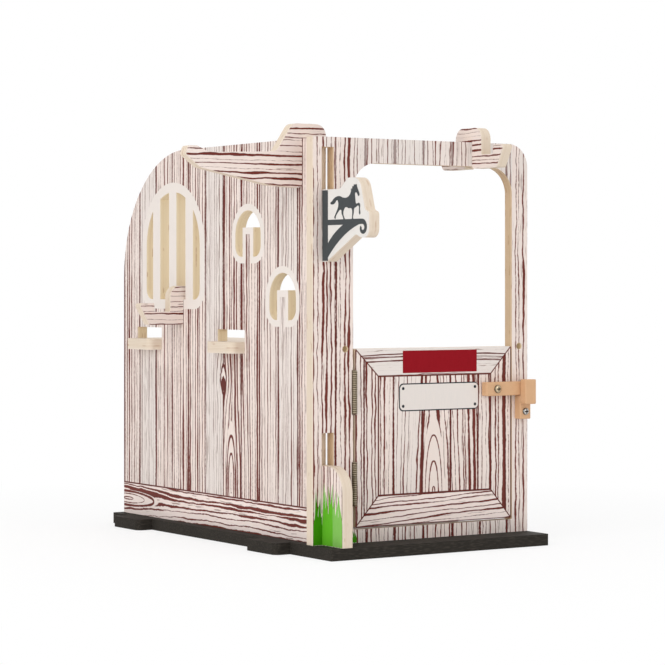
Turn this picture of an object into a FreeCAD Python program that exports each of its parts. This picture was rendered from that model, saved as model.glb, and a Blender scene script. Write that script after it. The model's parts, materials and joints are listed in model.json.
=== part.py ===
import FreeCAD, Part
import math
import os

# Toy stable for a toy pony, cut from sheet wood: a dark floor board, a printed front panel
# with a hinged half door, and one printed side wall that hooks through slots in the panel.
# Millimetres, +Z up, front towards -Y, origin at the centre of the floor board's underside.

# Sheet and floor board
PLY = 12.0
BASE_THICK = 12.0
BASE_WIDTH = 272.0
BASE_DEPTH = 460.0
BASE_CORNER = 2.0
EDGE_ROUND = 1.5
LINK_TAB_OUT = 18.0
LINK_TAB_LENGTH = 56.0
LINK_TAB_FROM_FRONT = 77.0
LINK_TAB_FROM_REAR = 37.0
LINK_TAB_ROUND = 7.0

# Front panel and doorway
PANEL_HEIGHT = 410.0
PANEL_INSET = 2.0
PANEL_SETBACK = 37.0
PANEL_ROUND = 24.5
LEFT_POST = 48.0
RIGHT_POST = 20.5
DOORWAY_ROUND = 28.0
TOP_RAIL = 25.0
SILL = 13.5
PEG_HOLE = 7.0
PEG_HOLE_MARGIN = 9.5

# Half door
DOOR_HEIGHT = 181.0
DOOR_GAP_HINGE = 2.6
DOOR_GAP_LATCH = 1.5
DOOR_GAP_SILL = 1.8
DOOR_ROUND = 1.5

# Side wall with its sign and grass tabs
WALL_INSET = 11.0
WALL_REAR_INSET = 3.0
WALL_ARC = 140.0
WALL_DROP = 32.0
SLOT_PLAY = 0.8
SLOT_SLACK = 0.9
SLOT_FROM_TOP = 10.2
SIGN_REACH = 84.0
SIGN_HEIGHT = 82.5
SIGN_NECK = 72.0
SIGN_SCROLL_TOP = 48.0
SIGN_SCROLL_LOW = 23.0
SIGN_SCROLL_LENGTH = 14.0
SIGN_THROAT_RUN = 23.5
SIGN_THROAT_RISE = 26.5
SIGN_HEAD_BACK = 38.0
SIGN_HEAD_FRONT = 17.0
SIGN_HEAD_ROUND = 14.0
SIGN_NECK_RUN = 13.0
SIGN_NOTCH_RUN = 7.0
SIGN_NOTCH_RISE = 2.0
SIGN_SOFT_ROUND = 9.0
SIGN_CRISP_ROUND = 4.0
SIGN_HEEL = 8.0
GRASS_INSET = 0.3
GRASS_HEIGHT = 79.6
GRASS_ROUND = 26.0
TENON_LENGTH = 60.0
PANEL_TENON_MARGIN = 40.0
WALL_TENON_MARGIN = 70.0
TENON_PLAY = 0.3
SEAT_GAP = 0.2

# Barred window, horseshoe holes and shelf holes in the side wall
WINDOW_FROM_REAR = 114.0
WINDOW_FROM_TOP = 46.0
WINDOW_RADIUS = 60.0
WINDOW_SPRING = 59.0
WINDOW_SILL_ROUND = 12.0
ARC_MARGIN = 0.01
BAR_COUNT = 3
BAR_WIDTH = 16.5
BAR_PITCH = 36.8
SHOE_RADIUS = 25.8
SHOE_HEIGHT = 48.8
SHOE_HEEL_ROUND = 12.0
SHOE_TONGUE = 21.5
SHOE_TONGUE_DROP = 18.0
REAR_SHOE = (144.5, 70.4)
FRONT_SHOE = (75.4, 136.4)
SHELF_BELOW_SILL = 56.4
SHELF_HOLE_LENGTH = 56.0
SHELF_HOLE_PITCH = 179.8
SHELF_HOLE_FROM_REAR = 33.0

# Feed shelf inside the wall
SHELF_DEPTH = 92.0
SHELF_MARGIN = 12.0
SHELF_TAB_OUT = 16.5
SHELF_ROUND = 24.0
SHELF_PLAY = 0.4

# Butt hinges
HINGE_LENGTH = 43.0
HINGE_MARGIN = 44.0
BARREL_RADIUS = 2.6
HINGE_AXIS_FORWARD = 1.0
LEAF_THICK = 1.1
LEAF_DEPTH = 10.5
KNUCKLES = 3
KNUCKLE_GAP = 0.3
PIN_RADIUS = 1.4
PIN_CLEARANCE = 0.05
PIN_HEAD_RADIUS = 2.2
PIN_HEAD_THICK = 0.9
HINGE_RECESS = 0.45
LEAF_SCREW_RADIUS = 1.2
LEAF_SCREW_HEAD = 2.3
LEAF_SCREW_LENGTH = 15.0
LEAF_SCREW_SPREAD = 25.8
LEAF_SCREW_SIDES = 12

# Latch bar and keeper
LATCH_ON_DOOR = 38.5
LATCH_LENGTH = 55.0
LATCH_HEIGHT = 14.4
LATCH_THICK = 9.0
LATCH_FROM_TOP = 44.3
LATCH_PIVOT = 14.0
LATCH_GAP = 0.4
LATCH_EASE = 0.8
LATCH_BORE_PLAY = 0.05
SCREW_RADIUS = 2.0
SCREW_HEAD_RADIUS = 4.2
SCREW_HEAD_HEIGHT = 2.6
SCREW_BITE = 9.0
SCREW_RIM_HEIGHT = 0.9
SCREW_CROWN_SHARE = 0.55
CROSS_WIDTH = 1.1
CROSS_DEPTH = 1.0
KEEPER_FROM_DOORWAY = 3.5
KEEPER_WIDTH = 14.2
KEEPER_BLOCK_HEIGHT = 25.0
KEEPER_LIP_HEIGHT = 26.0
KEEPER_LIP_THICK = 9.5
KEEPER_OVERLAP = 9.0
KEEPER_SCREW_RISE = 8.0
KEEPER_SCREW_HEAD = 3.7

# Saddle rack that hangs over the wall, and two short hooks that hang over a rail or a sill
RACK_FROM_PANEL = 25.3
RACK_REACH = 142.0
RACK_BUTT = 50.5
RACK_BUTT_REACH = 46.0
RACK_TIP_RISE = 6.0
RACK_TIP_DROP = 11.0
RACK_TIP_LENGTH = 13.0
RACK_NOSE_DROP = 9.0
RACK_NOSE_SLOPE = 3.0
RACK_CHIN_RUN = 17.0
RACK_CHIN_DROP = 21.5
RACK_CHIN_ROUND = 14.0
RACK_CROWN_HALF = 17.5
RACK_CROWN_ROUND = 9.0
RACK_NECK_RUN = 37.0
RACK_NECK_DROP = 14.2
RACK_NECK_ROUND = 8.0
RACK_DIP_RUN = 13.0
RACK_DIP_ROUND = 9.0
RACK_TIP_ROUND = 3.5
RACK_BUTT_SLOPE = 2.5
RACK_BUTT_ROUND = 20.0
LOBE_HALF = 22.5
LOBE_RISE = 15.0
LOBE_ROUND = 12.0
INNER_LEG = 28.0
LEG_ROUND = 5.0
HANG_PLAY = 0.4
HOOK_REACH = 61.5
HOOK_FOOT = 48.5
HOOK_DEPTH = 27.5
HOOK_NOTCH = 13.5
HOOK_TIP_DROP = 4.0
HOOK_TIP_LENGTH = 19.0
HOOK_TAIL = 48.0
HOOK_TIP_ROUND = 3.0
HOOK_TAIL_ROUND = 6.0
FRONT_HOOK_FROM_RIGHT = 73.0
HOOK_GAP_COUNT = 2

# Places worked out from the sizes above
PANEL_WIDTH = BASE_WIDTH - PANEL_INSET
PANEL_X = -BASE_WIDTH / 2 + PANEL_INSET
PANEL_Y = -BASE_DEPTH / 2 + PANEL_SETBACK
PANEL_BACK = PANEL_Y + PLY
FLOOR = BASE_THICK
WALL_X = PANEL_X + WALL_INSET
WALL_INNER = WALL_X + PLY
WALL_MIDDLE = WALL_X + PLY / 2
WALL_FRONT = PANEL_BACK + SEAT_GAP
WALL_REAR = BASE_DEPTH / 2 - WALL_REAR_INSET
TOP = FLOOR + PANEL_HEIGHT
DOORWAY_LEFT = PANEL_X + LEFT_POST
DOORWAY_RIGHT = PANEL_X + PANEL_WIDTH - RIGHT_POST
DOOR_LEFT = DOORWAY_LEFT + DOOR_GAP_HINGE
DOOR_RIGHT = DOORWAY_RIGHT - DOOR_GAP_LATCH
DOOR_BOTTOM = FLOOR + SILL + DOOR_GAP_SILL
DOOR_TOP = DOOR_BOTTOM + DOOR_HEIGHT
HINGE_X = DOORWAY_LEFT + DOOR_GAP_HINGE / 2
HINGE_Y = PANEL_Y - HINGE_AXIS_FORWARD
HINGE_CENTRES = (DOOR_BOTTOM + HINGE_MARGIN, DOOR_TOP - HINGE_MARGIN)
SIGN_TOP = TOP - SLOT_FROM_TOP - SLOT_PLAY - WALL_DROP
SIGN_LOW = SIGN_TOP - SIGN_HEIGHT
SIGN_NECK_TOP = SIGN_LOW + SIGN_NECK
SIGN_TIP = PANEL_Y - SIGN_REACH
LATCH_Z = DOOR_TOP - LATCH_FROM_TOP
LATCH_FRONT = PANEL_Y - LATCH_GAP - LATCH_THICK
LATCH_X = DOOR_RIGHT - LATCH_ON_DOOR
PIVOT_X = LATCH_X + LATCH_PIVOT
KEEPER_X = DOORWAY_RIGHT + KEEPER_FROM_DOORWAY
KEEPER_TOP = LATCH_Z - LATCH_HEIGHT / 2 - SEAT_GAP
LIP_BACK = LATCH_FRONT - LATCH_GAP
WINDOW_Y = WALL_REAR - WINDOW_FROM_REAR
WINDOW_HEAD = TOP - WINDOW_FROM_TOP
SILL_Z = WINDOW_HEAD - WINDOW_RADIUS - WINDOW_SPRING
SHELF_Z = SILL_Z - SHELF_BELOW_SILL
REAR_HOLE_Y = WALL_REAR - SHELF_HOLE_FROM_REAR - SHELF_HOLE_LENGTH
SHELF_HOLES = (REAR_HOLE_Y - SHELF_HOLE_PITCH, REAR_HOLE_Y)


# Drawing helpers
def place(plane, offset, u, v):
    if plane == "XZ":
        return FreeCAD.Vector(u, offset, v)
    if plane == "YZ":
        return FreeCAD.Vector(offset, u, v)
    return FreeCAD.Vector(u, v, offset)


def corner_points(before, corner, after, radius):
    back = math.atan2(before[1] - corner[1], before[0] - corner[0])
    ahead = math.atan2(after[1] - corner[1], after[0] - corner[0])
    turn = (ahead - back + math.pi) % (2 * math.pi) - math.pi
    half = abs(turn) / 2
    reach = radius / math.tan(half)
    middle = back + turn / 2
    centre_distance = radius / math.sin(half)
    start = (corner[0] + reach * math.cos(back), corner[1] + reach * math.sin(back))
    end = (corner[0] + reach * math.cos(ahead), corner[1] + reach * math.sin(ahead))
    bow = centre_distance - radius
    peak = (corner[0] + bow * math.cos(middle), corner[1] + bow * math.sin(middle))
    return start, peak, end


def sheet_piece(plane, offset, thickness, corners):
    """A piece cut from sheet: corners are (u, v, radius), joined by straight edges."""
    rounds = []
    count = len(corners)
    for index in range(count):
        before = corners[index - 1]
        corner = corners[index]
        after = corners[(index + 1) % count]
        if corner[2] > 0:
            rounds.append(corner_points(before, corner, after, corner[2]))
        else:
            rounds.append((corner[:2], None, corner[:2]))
    edges = []
    for index in range(count):
        start, peak, end = rounds[index]
        following = rounds[(index + 1) % count][0]
        a = place(plane, offset, *end)
        b = place(plane, offset, *following)
        if peak:
            first = place(plane, offset, *start)
            middle = place(plane, offset, *peak)
            edges.append(Part.Arc(first, middle, a).toShape())
        if a.distanceToPoint(b) > 0.001:
            edges.append(Part.makeLine(a, b))
    face = Part.Face(Part.Wire(Part.__sortEdges__(edges)))
    normal = {"XZ": (0, 1, 0), "YZ": (1, 0, 0), "XY": (0, 0, 1)}[plane]
    return face.extrude(FreeCAD.Vector(*normal) * thickness)


def block(x0, x1, y0, y1, z0, z1):
    return Part.makeBox(x1 - x0, y1 - y0, z1 - z0, FreeCAD.Vector(x0, y0, z0))


def rod(radius, length, start, direction):
    return Part.makeCylinder(radius, length, FreeCAD.Vector(*start), FreeCAD.Vector(*direction))


def eased_block(x0, x1, y0, y1, z0, z1, ease):
    solid = block(x0, x1, y0, y1, z0, z1)
    return solid.makeChamfer(ease, solid.Edges)


def save(name, shape):
    solids = shape.Solids
    clean = solids[0] if len(solids) == 1 else Part.makeCompound(solids)
    clean.exportStep(os.path.join("parts", name + ".step"))


# Floor board with its two link tabs on the left edge
def tenon_spans():
    right = PANEL_X + PANEL_WIDTH
    panel_ends = (PANEL_X + PANEL_TENON_MARGIN, right - PANEL_TENON_MARGIN - TENON_LENGTH)
    wall_ends = (WALL_FRONT + WALL_TENON_MARGIN, WALL_REAR - WALL_TENON_MARGIN - TENON_LENGTH)
    return panel_ends, wall_ends


def make_floor_board():
    left = -BASE_WIDTH / 2
    right = BASE_WIDTH / 2
    front = -BASE_DEPTH / 2
    rear = BASE_DEPTH / 2
    corners = [(left, front, BASE_CORNER)]
    corners += [(right, front, BASE_CORNER), (right, rear, BASE_CORNER), (left, rear, BASE_CORNER)]
    for near in (rear - LINK_TAB_FROM_REAR - LINK_TAB_LENGTH, front + LINK_TAB_FROM_FRONT):
        far = near + LINK_TAB_LENGTH
        corners += [(left, far, 0), (left - LINK_TAB_OUT, far, BASE_CORNER)]
        corners += [(left - LINK_TAB_OUT, near, LINK_TAB_ROUND), (left, near, 0)]
    board = sheet_piece("XY", 0, BASE_THICK, corners)
    panel_starts, wall_starts = tenon_spans()
    for x in panel_starts:
        board = board.cut(block(x - TENON_PLAY, x + TENON_LENGTH + TENON_PLAY,
                                PANEL_Y - TENON_PLAY, PANEL_BACK + TENON_PLAY, 0, BASE_THICK))
    for y in wall_starts:
        board = board.cut(block(WALL_X - TENON_PLAY, WALL_INNER + TENON_PLAY,
                                y - TENON_PLAY, y + TENON_LENGTH + TENON_PLAY, 0, BASE_THICK))
    return board


# Front panel: doorway, wall slots, peg holes, hinge recesses and screw holes
def slot_heights():
    sign = (SIGN_LOW + WALL_DROP - SEAT_GAP, SIGN_TOP + WALL_DROP + SLOT_PLAY)
    grass = (FLOOR + WALL_DROP - SEAT_GAP, FLOOR + GRASS_HEIGHT + WALL_DROP + SLOT_PLAY)
    return sign, grass


def hinge_recesses():
    half = HINGE_LENGTH / 2 + PIN_HEAD_THICK + KNUCKLE_GAP
    for centre in HINGE_CENTRES:
        low = centre - half
        yield rod(BARREL_RADIUS + HINGE_RECESS, 2 * half, (HINGE_X, HINGE_Y, low), (0, 0, 1))


def leaf_screw_length(start_radius, length, start, direction):
    # Few flat sides: these small screws are many and mostly hidden
    rings = []
    for radius, x in ((start_radius, start[0]), (LEAF_SCREW_RADIUS, start[0] + direction * length)):
        points = []
        for side in range(LEAF_SCREW_SIDES):
            angle = 2 * math.pi * side / LEAF_SCREW_SIDES
            y = start[1] + radius * math.cos(angle)
            z = start[2] + radius * math.sin(angle)
            points.append(FreeCAD.Vector(x, y, z))
        rings.append(Part.makePolygon(points + points[:1]))
    return Part.makeLoft(rings, True, True)


def leaf_screw_places():
    for centre in HINGE_CENTRES:
        for side in (-1, 1):
            yield PANEL_Y + PLY / 2, centre + side * LEAF_SCREW_SPREAD / 2


def make_front_panel():
    right = PANEL_X + PANEL_WIDTH
    panel = sheet_piece("XZ", PANEL_Y, PLY, [
        (PANEL_X, FLOOR, 0), (right, FLOOR, 0), (right, TOP, PANEL_ROUND), (PANEL_X, TOP, 0)])
    doorway = sheet_piece("XZ", PANEL_Y, PLY, [
        (DOORWAY_LEFT, FLOOR + SILL, DOOR_ROUND), (DOORWAY_RIGHT, FLOOR + SILL, DOOR_ROUND),
        (DOORWAY_RIGHT, TOP - TOP_RAIL, DOORWAY_ROUND), (DOORWAY_LEFT, TOP - TOP_RAIL, DOORWAY_ROUND)])
    panel = panel.cut(doorway)
    for low, high in slot_heights():
        far = WALL_INNER + SLOT_PLAY + SLOT_SLACK
        panel = panel.cut(block(WALL_X - SLOT_PLAY, far, PANEL_Y, PANEL_BACK, low, high))
    for x in (DOORWAY_LEFT - PEG_HOLE_MARGIN, DOORWAY_RIGHT + PEG_HOLE_MARGIN):
        panel = panel.cut(rod(PEG_HOLE / 2, PLY, (x, PANEL_Y, DOOR_TOP), (0, 1, 0)))
    for recess in hinge_recesses():
        panel = panel.cut(recess)
    for y, z in leaf_screw_places():
        panel = panel.cut(leaf_screw_length(LEAF_SCREW_RADIUS, LEAF_SCREW_LENGTH, (DOORWAY_LEFT, y, z), -1))
    screw_x, screw_z = keeper_screw_place()
    panel = panel.cut(rod(SCREW_RADIUS, SCREW_BITE, (screw_x, PANEL_Y, screw_z), (0, 1, 0)))
    for x in tenon_spans()[0]:
        panel = panel.fuse(block(x, x + TENON_LENGTH, PANEL_Y, PANEL_BACK, SEAT_GAP, FLOOR))
    return panel.removeSplitter()


# Side wall: quarter-round rear corner, sign and grass tabs, window, horseshoes, shelf holes
def sign_corners():
    face = PANEL_Y - SEAT_GAP
    scroll_top = SIGN_LOW + SIGN_SCROLL_TOP
    scroll_low = SIGN_LOW + SIGN_SCROLL_LOW
    return [
        (SIGN_TIP + SIGN_HEAD_BACK + SIGN_NECK_RUN, SIGN_NECK_TOP, SIGN_SOFT_ROUND),
        (SIGN_TIP + SIGN_HEAD_BACK, SIGN_TOP, SIGN_SOFT_ROUND),
        (SIGN_TIP + SIGN_HEAD_FRONT, SIGN_TOP, SIGN_HEAD_ROUND),
        (SIGN_TIP + SIGN_NOTCH_RUN, scroll_top + SIGN_NOTCH_RISE, SIGN_CRISP_ROUND),
        (SIGN_TIP, scroll_top, SIGN_CRISP_ROUND),
        (SIGN_TIP, scroll_low, SIGN_SOFT_ROUND),
        (SIGN_TIP + SIGN_SCROLL_LENGTH, scroll_low, SIGN_SOFT_ROUND),
        (SIGN_TIP + SIGN_THROAT_RUN, SIGN_LOW + SIGN_THROAT_RISE, SIGN_CRISP_ROUND),
        (face - SIGN_HEEL, SIGN_LOW, EDGE_ROUND),
        (face, SIGN_LOW, 0)]


def window_slots():
    left = WINDOW_Y - WINDOW_RADIUS
    right = WINDOW_Y + WINDOW_RADIUS
    head = WINDOW_HEAD
    opening = sheet_piece("YZ", WALL_X, PLY, [
        (left, SILL_Z, WINDOW_SILL_ROUND), (right, SILL_Z, WINDOW_SILL_ROUND),
        (right, head, WINDOW_RADIUS - ARC_MARGIN), (left, head, WINDOW_RADIUS - ARC_MARGIN)])
    for index in range(BAR_COUNT):
        middle = WINDOW_Y + (index - (BAR_COUNT - 1) / 2) * BAR_PITCH
        bar = block(WALL_X, WALL_INNER, middle - BAR_WIDTH / 2, middle + BAR_WIDTH / 2, SILL_Z, head)
        opening = opening.cut(bar)
    return opening


def horseshoe(from_front, from_top):
    y = PANEL_Y + from_front
    crown = TOP - from_top
    heel = crown - SHOE_HEIGHT
    arc = SHOE_RADIUS - ARC_MARGIN
    hole = sheet_piece("YZ", WALL_X, PLY, [
        (y - SHOE_RADIUS, heel, SHOE_HEEL_ROUND), (y + SHOE_RADIUS, heel, SHOE_HEEL_ROUND),
        (y + SHOE_RADIUS, crown, arc), (y - SHOE_RADIUS, crown, arc)])
    tongue = block(WALL_X, WALL_INNER, y - SHOE_TONGUE / 2, y + SHOE_TONGUE / 2,
                   heel, crown - SHOE_TONGUE_DROP)
    return hole.cut(tongue)


def make_side_wall():
    sign_slot, grass_slot = slot_heights()
    face = PANEL_Y - SEAT_GAP
    front = PANEL_Y - PANEL_SETBACK + GRASS_INSET
    grass_top = FLOOR + GRASS_HEIGHT
    corners = [(WALL_REAR, FLOOR, 0), (WALL_REAR, TOP, WALL_ARC), (WALL_FRONT, TOP, 0)]
    corners.append((WALL_FRONT, SIGN_NECK_TOP, 0))
    corners += sign_corners()
    sign_seat = sign_slot[0] + SEAT_GAP
    corners += [(face, sign_seat, 0), (WALL_FRONT, sign_seat, 0), (WALL_FRONT, grass_top, 0)]
    corners += [(front, grass_top, GRASS_ROUND), (front, FLOOR, 0), (face, FLOOR, 0)]
    grass_seat = grass_slot[0] + SEAT_GAP
    corners += [(face, grass_seat, 0), (WALL_FRONT, grass_seat, 0), (WALL_FRONT, FLOOR, 0)]
    wall = sheet_piece("YZ", WALL_X, PLY, corners)
    wall = wall.cut(window_slots())
    for shoe in (REAR_SHOE, FRONT_SHOE):
        wall = wall.cut(horseshoe(*shoe))
    for y in SHELF_HOLES:
        wall = wall.cut(block(WALL_X, WALL_INNER, y, y + SHELF_HOLE_LENGTH,
                              SHELF_Z, SHELF_Z + 2 * PLY + 2 * SHELF_PLAY))
    for y in tenon_spans()[1]:
        wall = wall.fuse(block(WALL_X, WALL_INNER, y, y + TENON_LENGTH, SEAT_GAP, FLOOR))
    return wall.removeSplitter()


# Feed shelf: rests inside the wall on two tabs that come out through the wall's holes
def make_feed_shelf():
    near = SHELF_HOLES[0]
    far = SHELF_HOLES[1] + SHELF_HOLE_LENGTH
    back = WALL_INNER + SEAT_GAP
    inner = back + SHELF_DEPTH
    corners = [(inner, near - SHELF_MARGIN, SHELF_ROUND), (inner, far + SHELF_MARGIN, SHELF_ROUND)]
    corners.append((back, far + SHELF_MARGIN, 0))
    for start in reversed(SHELF_HOLES):
        low = start + SHELF_PLAY
        high = start + SHELF_HOLE_LENGTH - SHELF_PLAY
        out = WALL_X - SHELF_TAB_OUT
        corners += [(back, high, 0), (out, high, 1.5), (out, low, 1.5), (back, low, 0)]
    corners.append((back, near - SHELF_MARGIN, 0))
    return sheet_piece("XY", SHELF_Z, PLY, corners)


# Half door
def make_half_door():
    door = sheet_piece("XZ", PANEL_Y, PLY, [
        (DOOR_LEFT, DOOR_BOTTOM, DOOR_ROUND), (DOOR_RIGHT, DOOR_BOTTOM, DOOR_ROUND),
        (DOOR_RIGHT, DOOR_TOP, DOOR_ROUND), (DOOR_LEFT, DOOR_TOP, DOOR_ROUND)])
    for recess in hinge_recesses():
        door = door.cut(recess)
    for y, z in leaf_screw_places():
        door = door.cut(leaf_screw_length(LEAF_SCREW_RADIUS, LEAF_SCREW_LENGTH, (DOOR_LEFT, y, z), 1))
    return door.cut(rod(SCREW_RADIUS, SCREW_BITE, (PIVOT_X, PANEL_Y, LATCH_Z), (0, 1, 0)))


# Butt hinges: each leaf is a plate in the door gap with its share of the knuckles
def knuckle_spans(centre, first):
    low = centre - HINGE_LENGTH / 2
    step = HINGE_LENGTH / KNUCKLES
    for index in range(first, KNUCKLES, 2):
        yield low + index * step + KNUCKLE_GAP / 2, step - KNUCKLE_GAP


def make_leaf(centre, first, plate_left, screw_direction):
    low = centre - HINGE_LENGTH / 2
    leaf = block(plate_left, plate_left + LEAF_THICK, HINGE_Y, PANEL_Y + LEAF_DEPTH, low, low + HINGE_LENGTH)
    for start, length in knuckle_spans(centre, 1 - first):
        clear = KNUCKLE_GAP + length + KNUCKLE_GAP
        room = rod(BARREL_RADIUS + HINGE_RECESS, clear, (HINGE_X, HINGE_Y, start - KNUCKLE_GAP), (0, 0, 1))
        leaf = leaf.cut(room)
    for start, length in knuckle_spans(centre, first):
        leaf = leaf.fuse(rod(BARREL_RADIUS, length, (HINGE_X, HINGE_Y, start), (0, 0, 1)))
    bore = rod(PIN_RADIUS + PIN_CLEARANCE, HINGE_LENGTH, (HINGE_X, HINGE_Y, low), (0, 0, 1))
    leaf = leaf.cut(bore)
    for screw in leaf_screws(centre, plate_left, screw_direction):
        leaf = leaf.cut(screw)
    return leaf.removeSplitter()


def leaf_screws(centre, plate_left, direction):
    face = plate_left + LEAF_THICK if direction < 0 else plate_left
    for side in (-1, 1):
        z = centre + side * LEAF_SCREW_SPREAD / 2
        y = PANEL_Y + PLY / 2
        seat = face + direction * LEAF_THICK
        head = leaf_screw_length(LEAF_SCREW_HEAD, LEAF_THICK, (face, y, z), direction)
        shank = leaf_screw_length(LEAF_SCREW_RADIUS, LEAF_SCREW_LENGTH, (seat, y, z), direction)
        yield head.fuse(shank).removeSplitter()


def make_hinges():
    post_plate = DOORWAY_LEFT
    door_plate = DOOR_LEFT - LEAF_THICK
    post_screws = []
    door_screws = []
    for name, centre in zip(("lower", "upper"), HINGE_CENTRES):
        save(name + "_hinge_post_leaf", make_leaf(centre, 0, post_plate, -1))
        save(name + "_hinge_door_leaf", make_leaf(centre, 1, door_plate, 1))
        low = centre - HINGE_LENGTH / 2
        pin = rod(PIN_RADIUS, HINGE_LENGTH, (HINGE_X, HINGE_Y, low), (0, 0, 1))
        head = rod(PIN_HEAD_RADIUS, PIN_HEAD_THICK, (HINGE_X, HINGE_Y, low + HINGE_LENGTH), (0, 0, 1))
        save(name + "_hinge_pin", pin.fuse(head).removeSplitter())
        post_screws += leaf_screws(centre, post_plate, -1)
        door_screws += leaf_screws(centre, door_plate, 1)
    save("post_leaf_screws", Part.makeCompound(post_screws))
    save("door_leaf_screws", Part.makeCompound(door_screws))


# Latch: a bar that turns on a screw in the door and drops behind the keeper's lip
def keeper_screw_place():
    return KEEPER_X + KEEPER_WIDTH / 2, KEEPER_TOP - KEEPER_BLOCK_HEIGHT + KEEPER_SCREW_RISE


def pan_head_screw(x, z, seat, head_radius):
    """A cross-head screw that points to the rear, its head seated on the plane y = seat."""
    rim = rod(head_radius, SCREW_RIM_HEIGHT, (x, seat, z), (0, -1, 0))
    crown_radius = SCREW_CROWN_SHARE * head_radius
    crown_base = FreeCAD.Vector(x, seat - SCREW_RIM_HEIGHT, z)
    crown_height = SCREW_HEAD_HEIGHT - SCREW_RIM_HEIGHT
    crown = Part.makeCone(head_radius, crown_radius, crown_height, crown_base, FreeCAD.Vector(0, -1, 0))
    tip = PANEL_Y + SCREW_BITE
    shank = rod(SCREW_RADIUS, tip - seat, (x, seat, z), (0, 1, 0))
    screw = rim.fuse([crown, shank]).removeSplitter()
    top = seat - SCREW_HEAD_HEIGHT
    half = CROSS_WIDTH / 2
    for wide, tall in ((crown_radius, half), (half, crown_radius)):
        screw = screw.cut(block(x - wide, x + wide, top, top + CROSS_DEPTH, z - tall, z + tall))
    return screw


def make_latch_bar():
    bar = eased_block(LATCH_X, LATCH_X + LATCH_LENGTH, LATCH_FRONT, PANEL_Y - LATCH_GAP,
                      LATCH_Z - LATCH_HEIGHT / 2, LATCH_Z + LATCH_HEIGHT / 2, LATCH_EASE)
    return bar.cut(rod(SCREW_RADIUS + LATCH_BORE_PLAY, 2 * LATCH_THICK,
                       (PIVOT_X, PANEL_Y, LATCH_Z), (0, -1, 0)))


def make_keeper():
    low = KEEPER_TOP - KEEPER_BLOCK_HEIGHT
    right = KEEPER_X + KEEPER_WIDTH
    base = eased_block(KEEPER_X, right, LIP_BACK, PANEL_Y, low, KEEPER_TOP, LATCH_EASE)
    screw_x, screw_z = keeper_screw_place()
    base = base.cut(rod(SCREW_RADIUS, PANEL_Y - LIP_BACK, (screw_x, LIP_BACK, screw_z), (0, 1, 0)))
    lip_low = KEEPER_TOP - KEEPER_OVERLAP
    lip = eased_block(KEEPER_X, right, LIP_BACK - KEEPER_LIP_THICK, LIP_BACK,
                      lip_low, lip_low + KEEPER_LIP_HEIGHT, LATCH_EASE)
    return base, lip


# Hanging pieces: outlines about the middle of the rail or sill that they straddle
def rack_outline():
    gap = PLY / 2 + HANG_PLAY
    tip = -RACK_REACH
    return [
        (LOBE_HALF, LOBE_RISE, LOBE_ROUND),
        (-RACK_CROWN_HALF, LOBE_RISE, RACK_CROWN_ROUND),
        (-RACK_NECK_RUN, -RACK_NECK_DROP, RACK_NECK_ROUND),
        (tip + RACK_TIP_LENGTH + RACK_DIP_RUN, -RACK_TIP_DROP - RACK_TIP_RISE, RACK_DIP_ROUND),
        (tip + RACK_TIP_LENGTH, -RACK_TIP_DROP, RACK_TIP_ROUND),
        (tip + RACK_NOSE_SLOPE, -RACK_TIP_DROP, RACK_TIP_ROUND),
        (tip, -RACK_TIP_DROP - RACK_NOSE_DROP, RACK_TIP_ROUND),
        (tip + RACK_CHIN_RUN, -RACK_TIP_DROP - RACK_CHIN_DROP, RACK_CHIN_ROUND),
        (-RACK_BUTT_REACH, -RACK_BUTT + RACK_BUTT_SLOPE, RACK_BUTT_ROUND),
        (-gap, -RACK_BUTT, LEG_ROUND),
        (-gap, SEAT_GAP, 0),
        (gap, SEAT_GAP, 0),
        (gap, -INNER_LEG, EDGE_ROUND),
        (LOBE_HALF, -INNER_LEG, LEG_ROUND)]


def hook_outline():
    gap = PLY / 2 + HANG_PLAY
    return [
        (LOBE_HALF, LOBE_RISE, LOBE_ROUND),
        (-LOBE_HALF, LOBE_RISE, LOBE_ROUND),
        (-LOBE_HALF, -HOOK_NOTCH, EDGE_ROUND),
        (-HOOK_REACH + HOOK_TIP_LENGTH, -HOOK_NOTCH, EDGE_ROUND),
        (-HOOK_REACH + HOOK_TIP_LENGTH, -HOOK_TIP_DROP, EDGE_ROUND),
        (-HOOK_REACH, -HOOK_TIP_DROP, HOOK_TIP_ROUND),
        (-HOOK_FOOT, -HOOK_DEPTH, HOOK_TIP_ROUND),
        (-gap, -HOOK_DEPTH, HOOK_TIP_ROUND),
        (-gap, SEAT_GAP, 0),
        (gap, SEAT_GAP, 0),
        (gap, -HOOK_DEPTH, EDGE_ROUND),
        (HOOK_TAIL, -HOOK_DEPTH, HOOK_TAIL_ROUND),
        (HOOK_TAIL, -HOOK_NOTCH, HOOK_TAIL_ROUND),
        (LOBE_HALF, -HOOK_NOTCH, HOOK_TIP_ROUND)]


def hang(plane, offset, middle, rest, outline):
    corners = [(middle + u, rest + v, radius) for u, v, radius in outline]
    return sheet_piece(plane, offset, PLY, corners)


def make_hanging_pieces():
    save("saddle_rack", hang("XZ", PANEL_BACK + RACK_FROM_PANEL, WALL_MIDDLE, TOP, rack_outline()))
    front_x = PANEL_X + PANEL_WIDTH - FRONT_HOOK_FROM_RIGHT
    save("front_hook", hang("YZ", front_x, PANEL_Y + PLY / 2, TOP, hook_outline()))
    gap_middle = WINDOW_Y + (HOOK_GAP_COUNT - BAR_COUNT / 2 - 1) * BAR_PITCH
    save("window_hook", hang("XZ", gap_middle - PLY / 2, WALL_MIDDLE, SILL_Z, hook_outline()))


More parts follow.
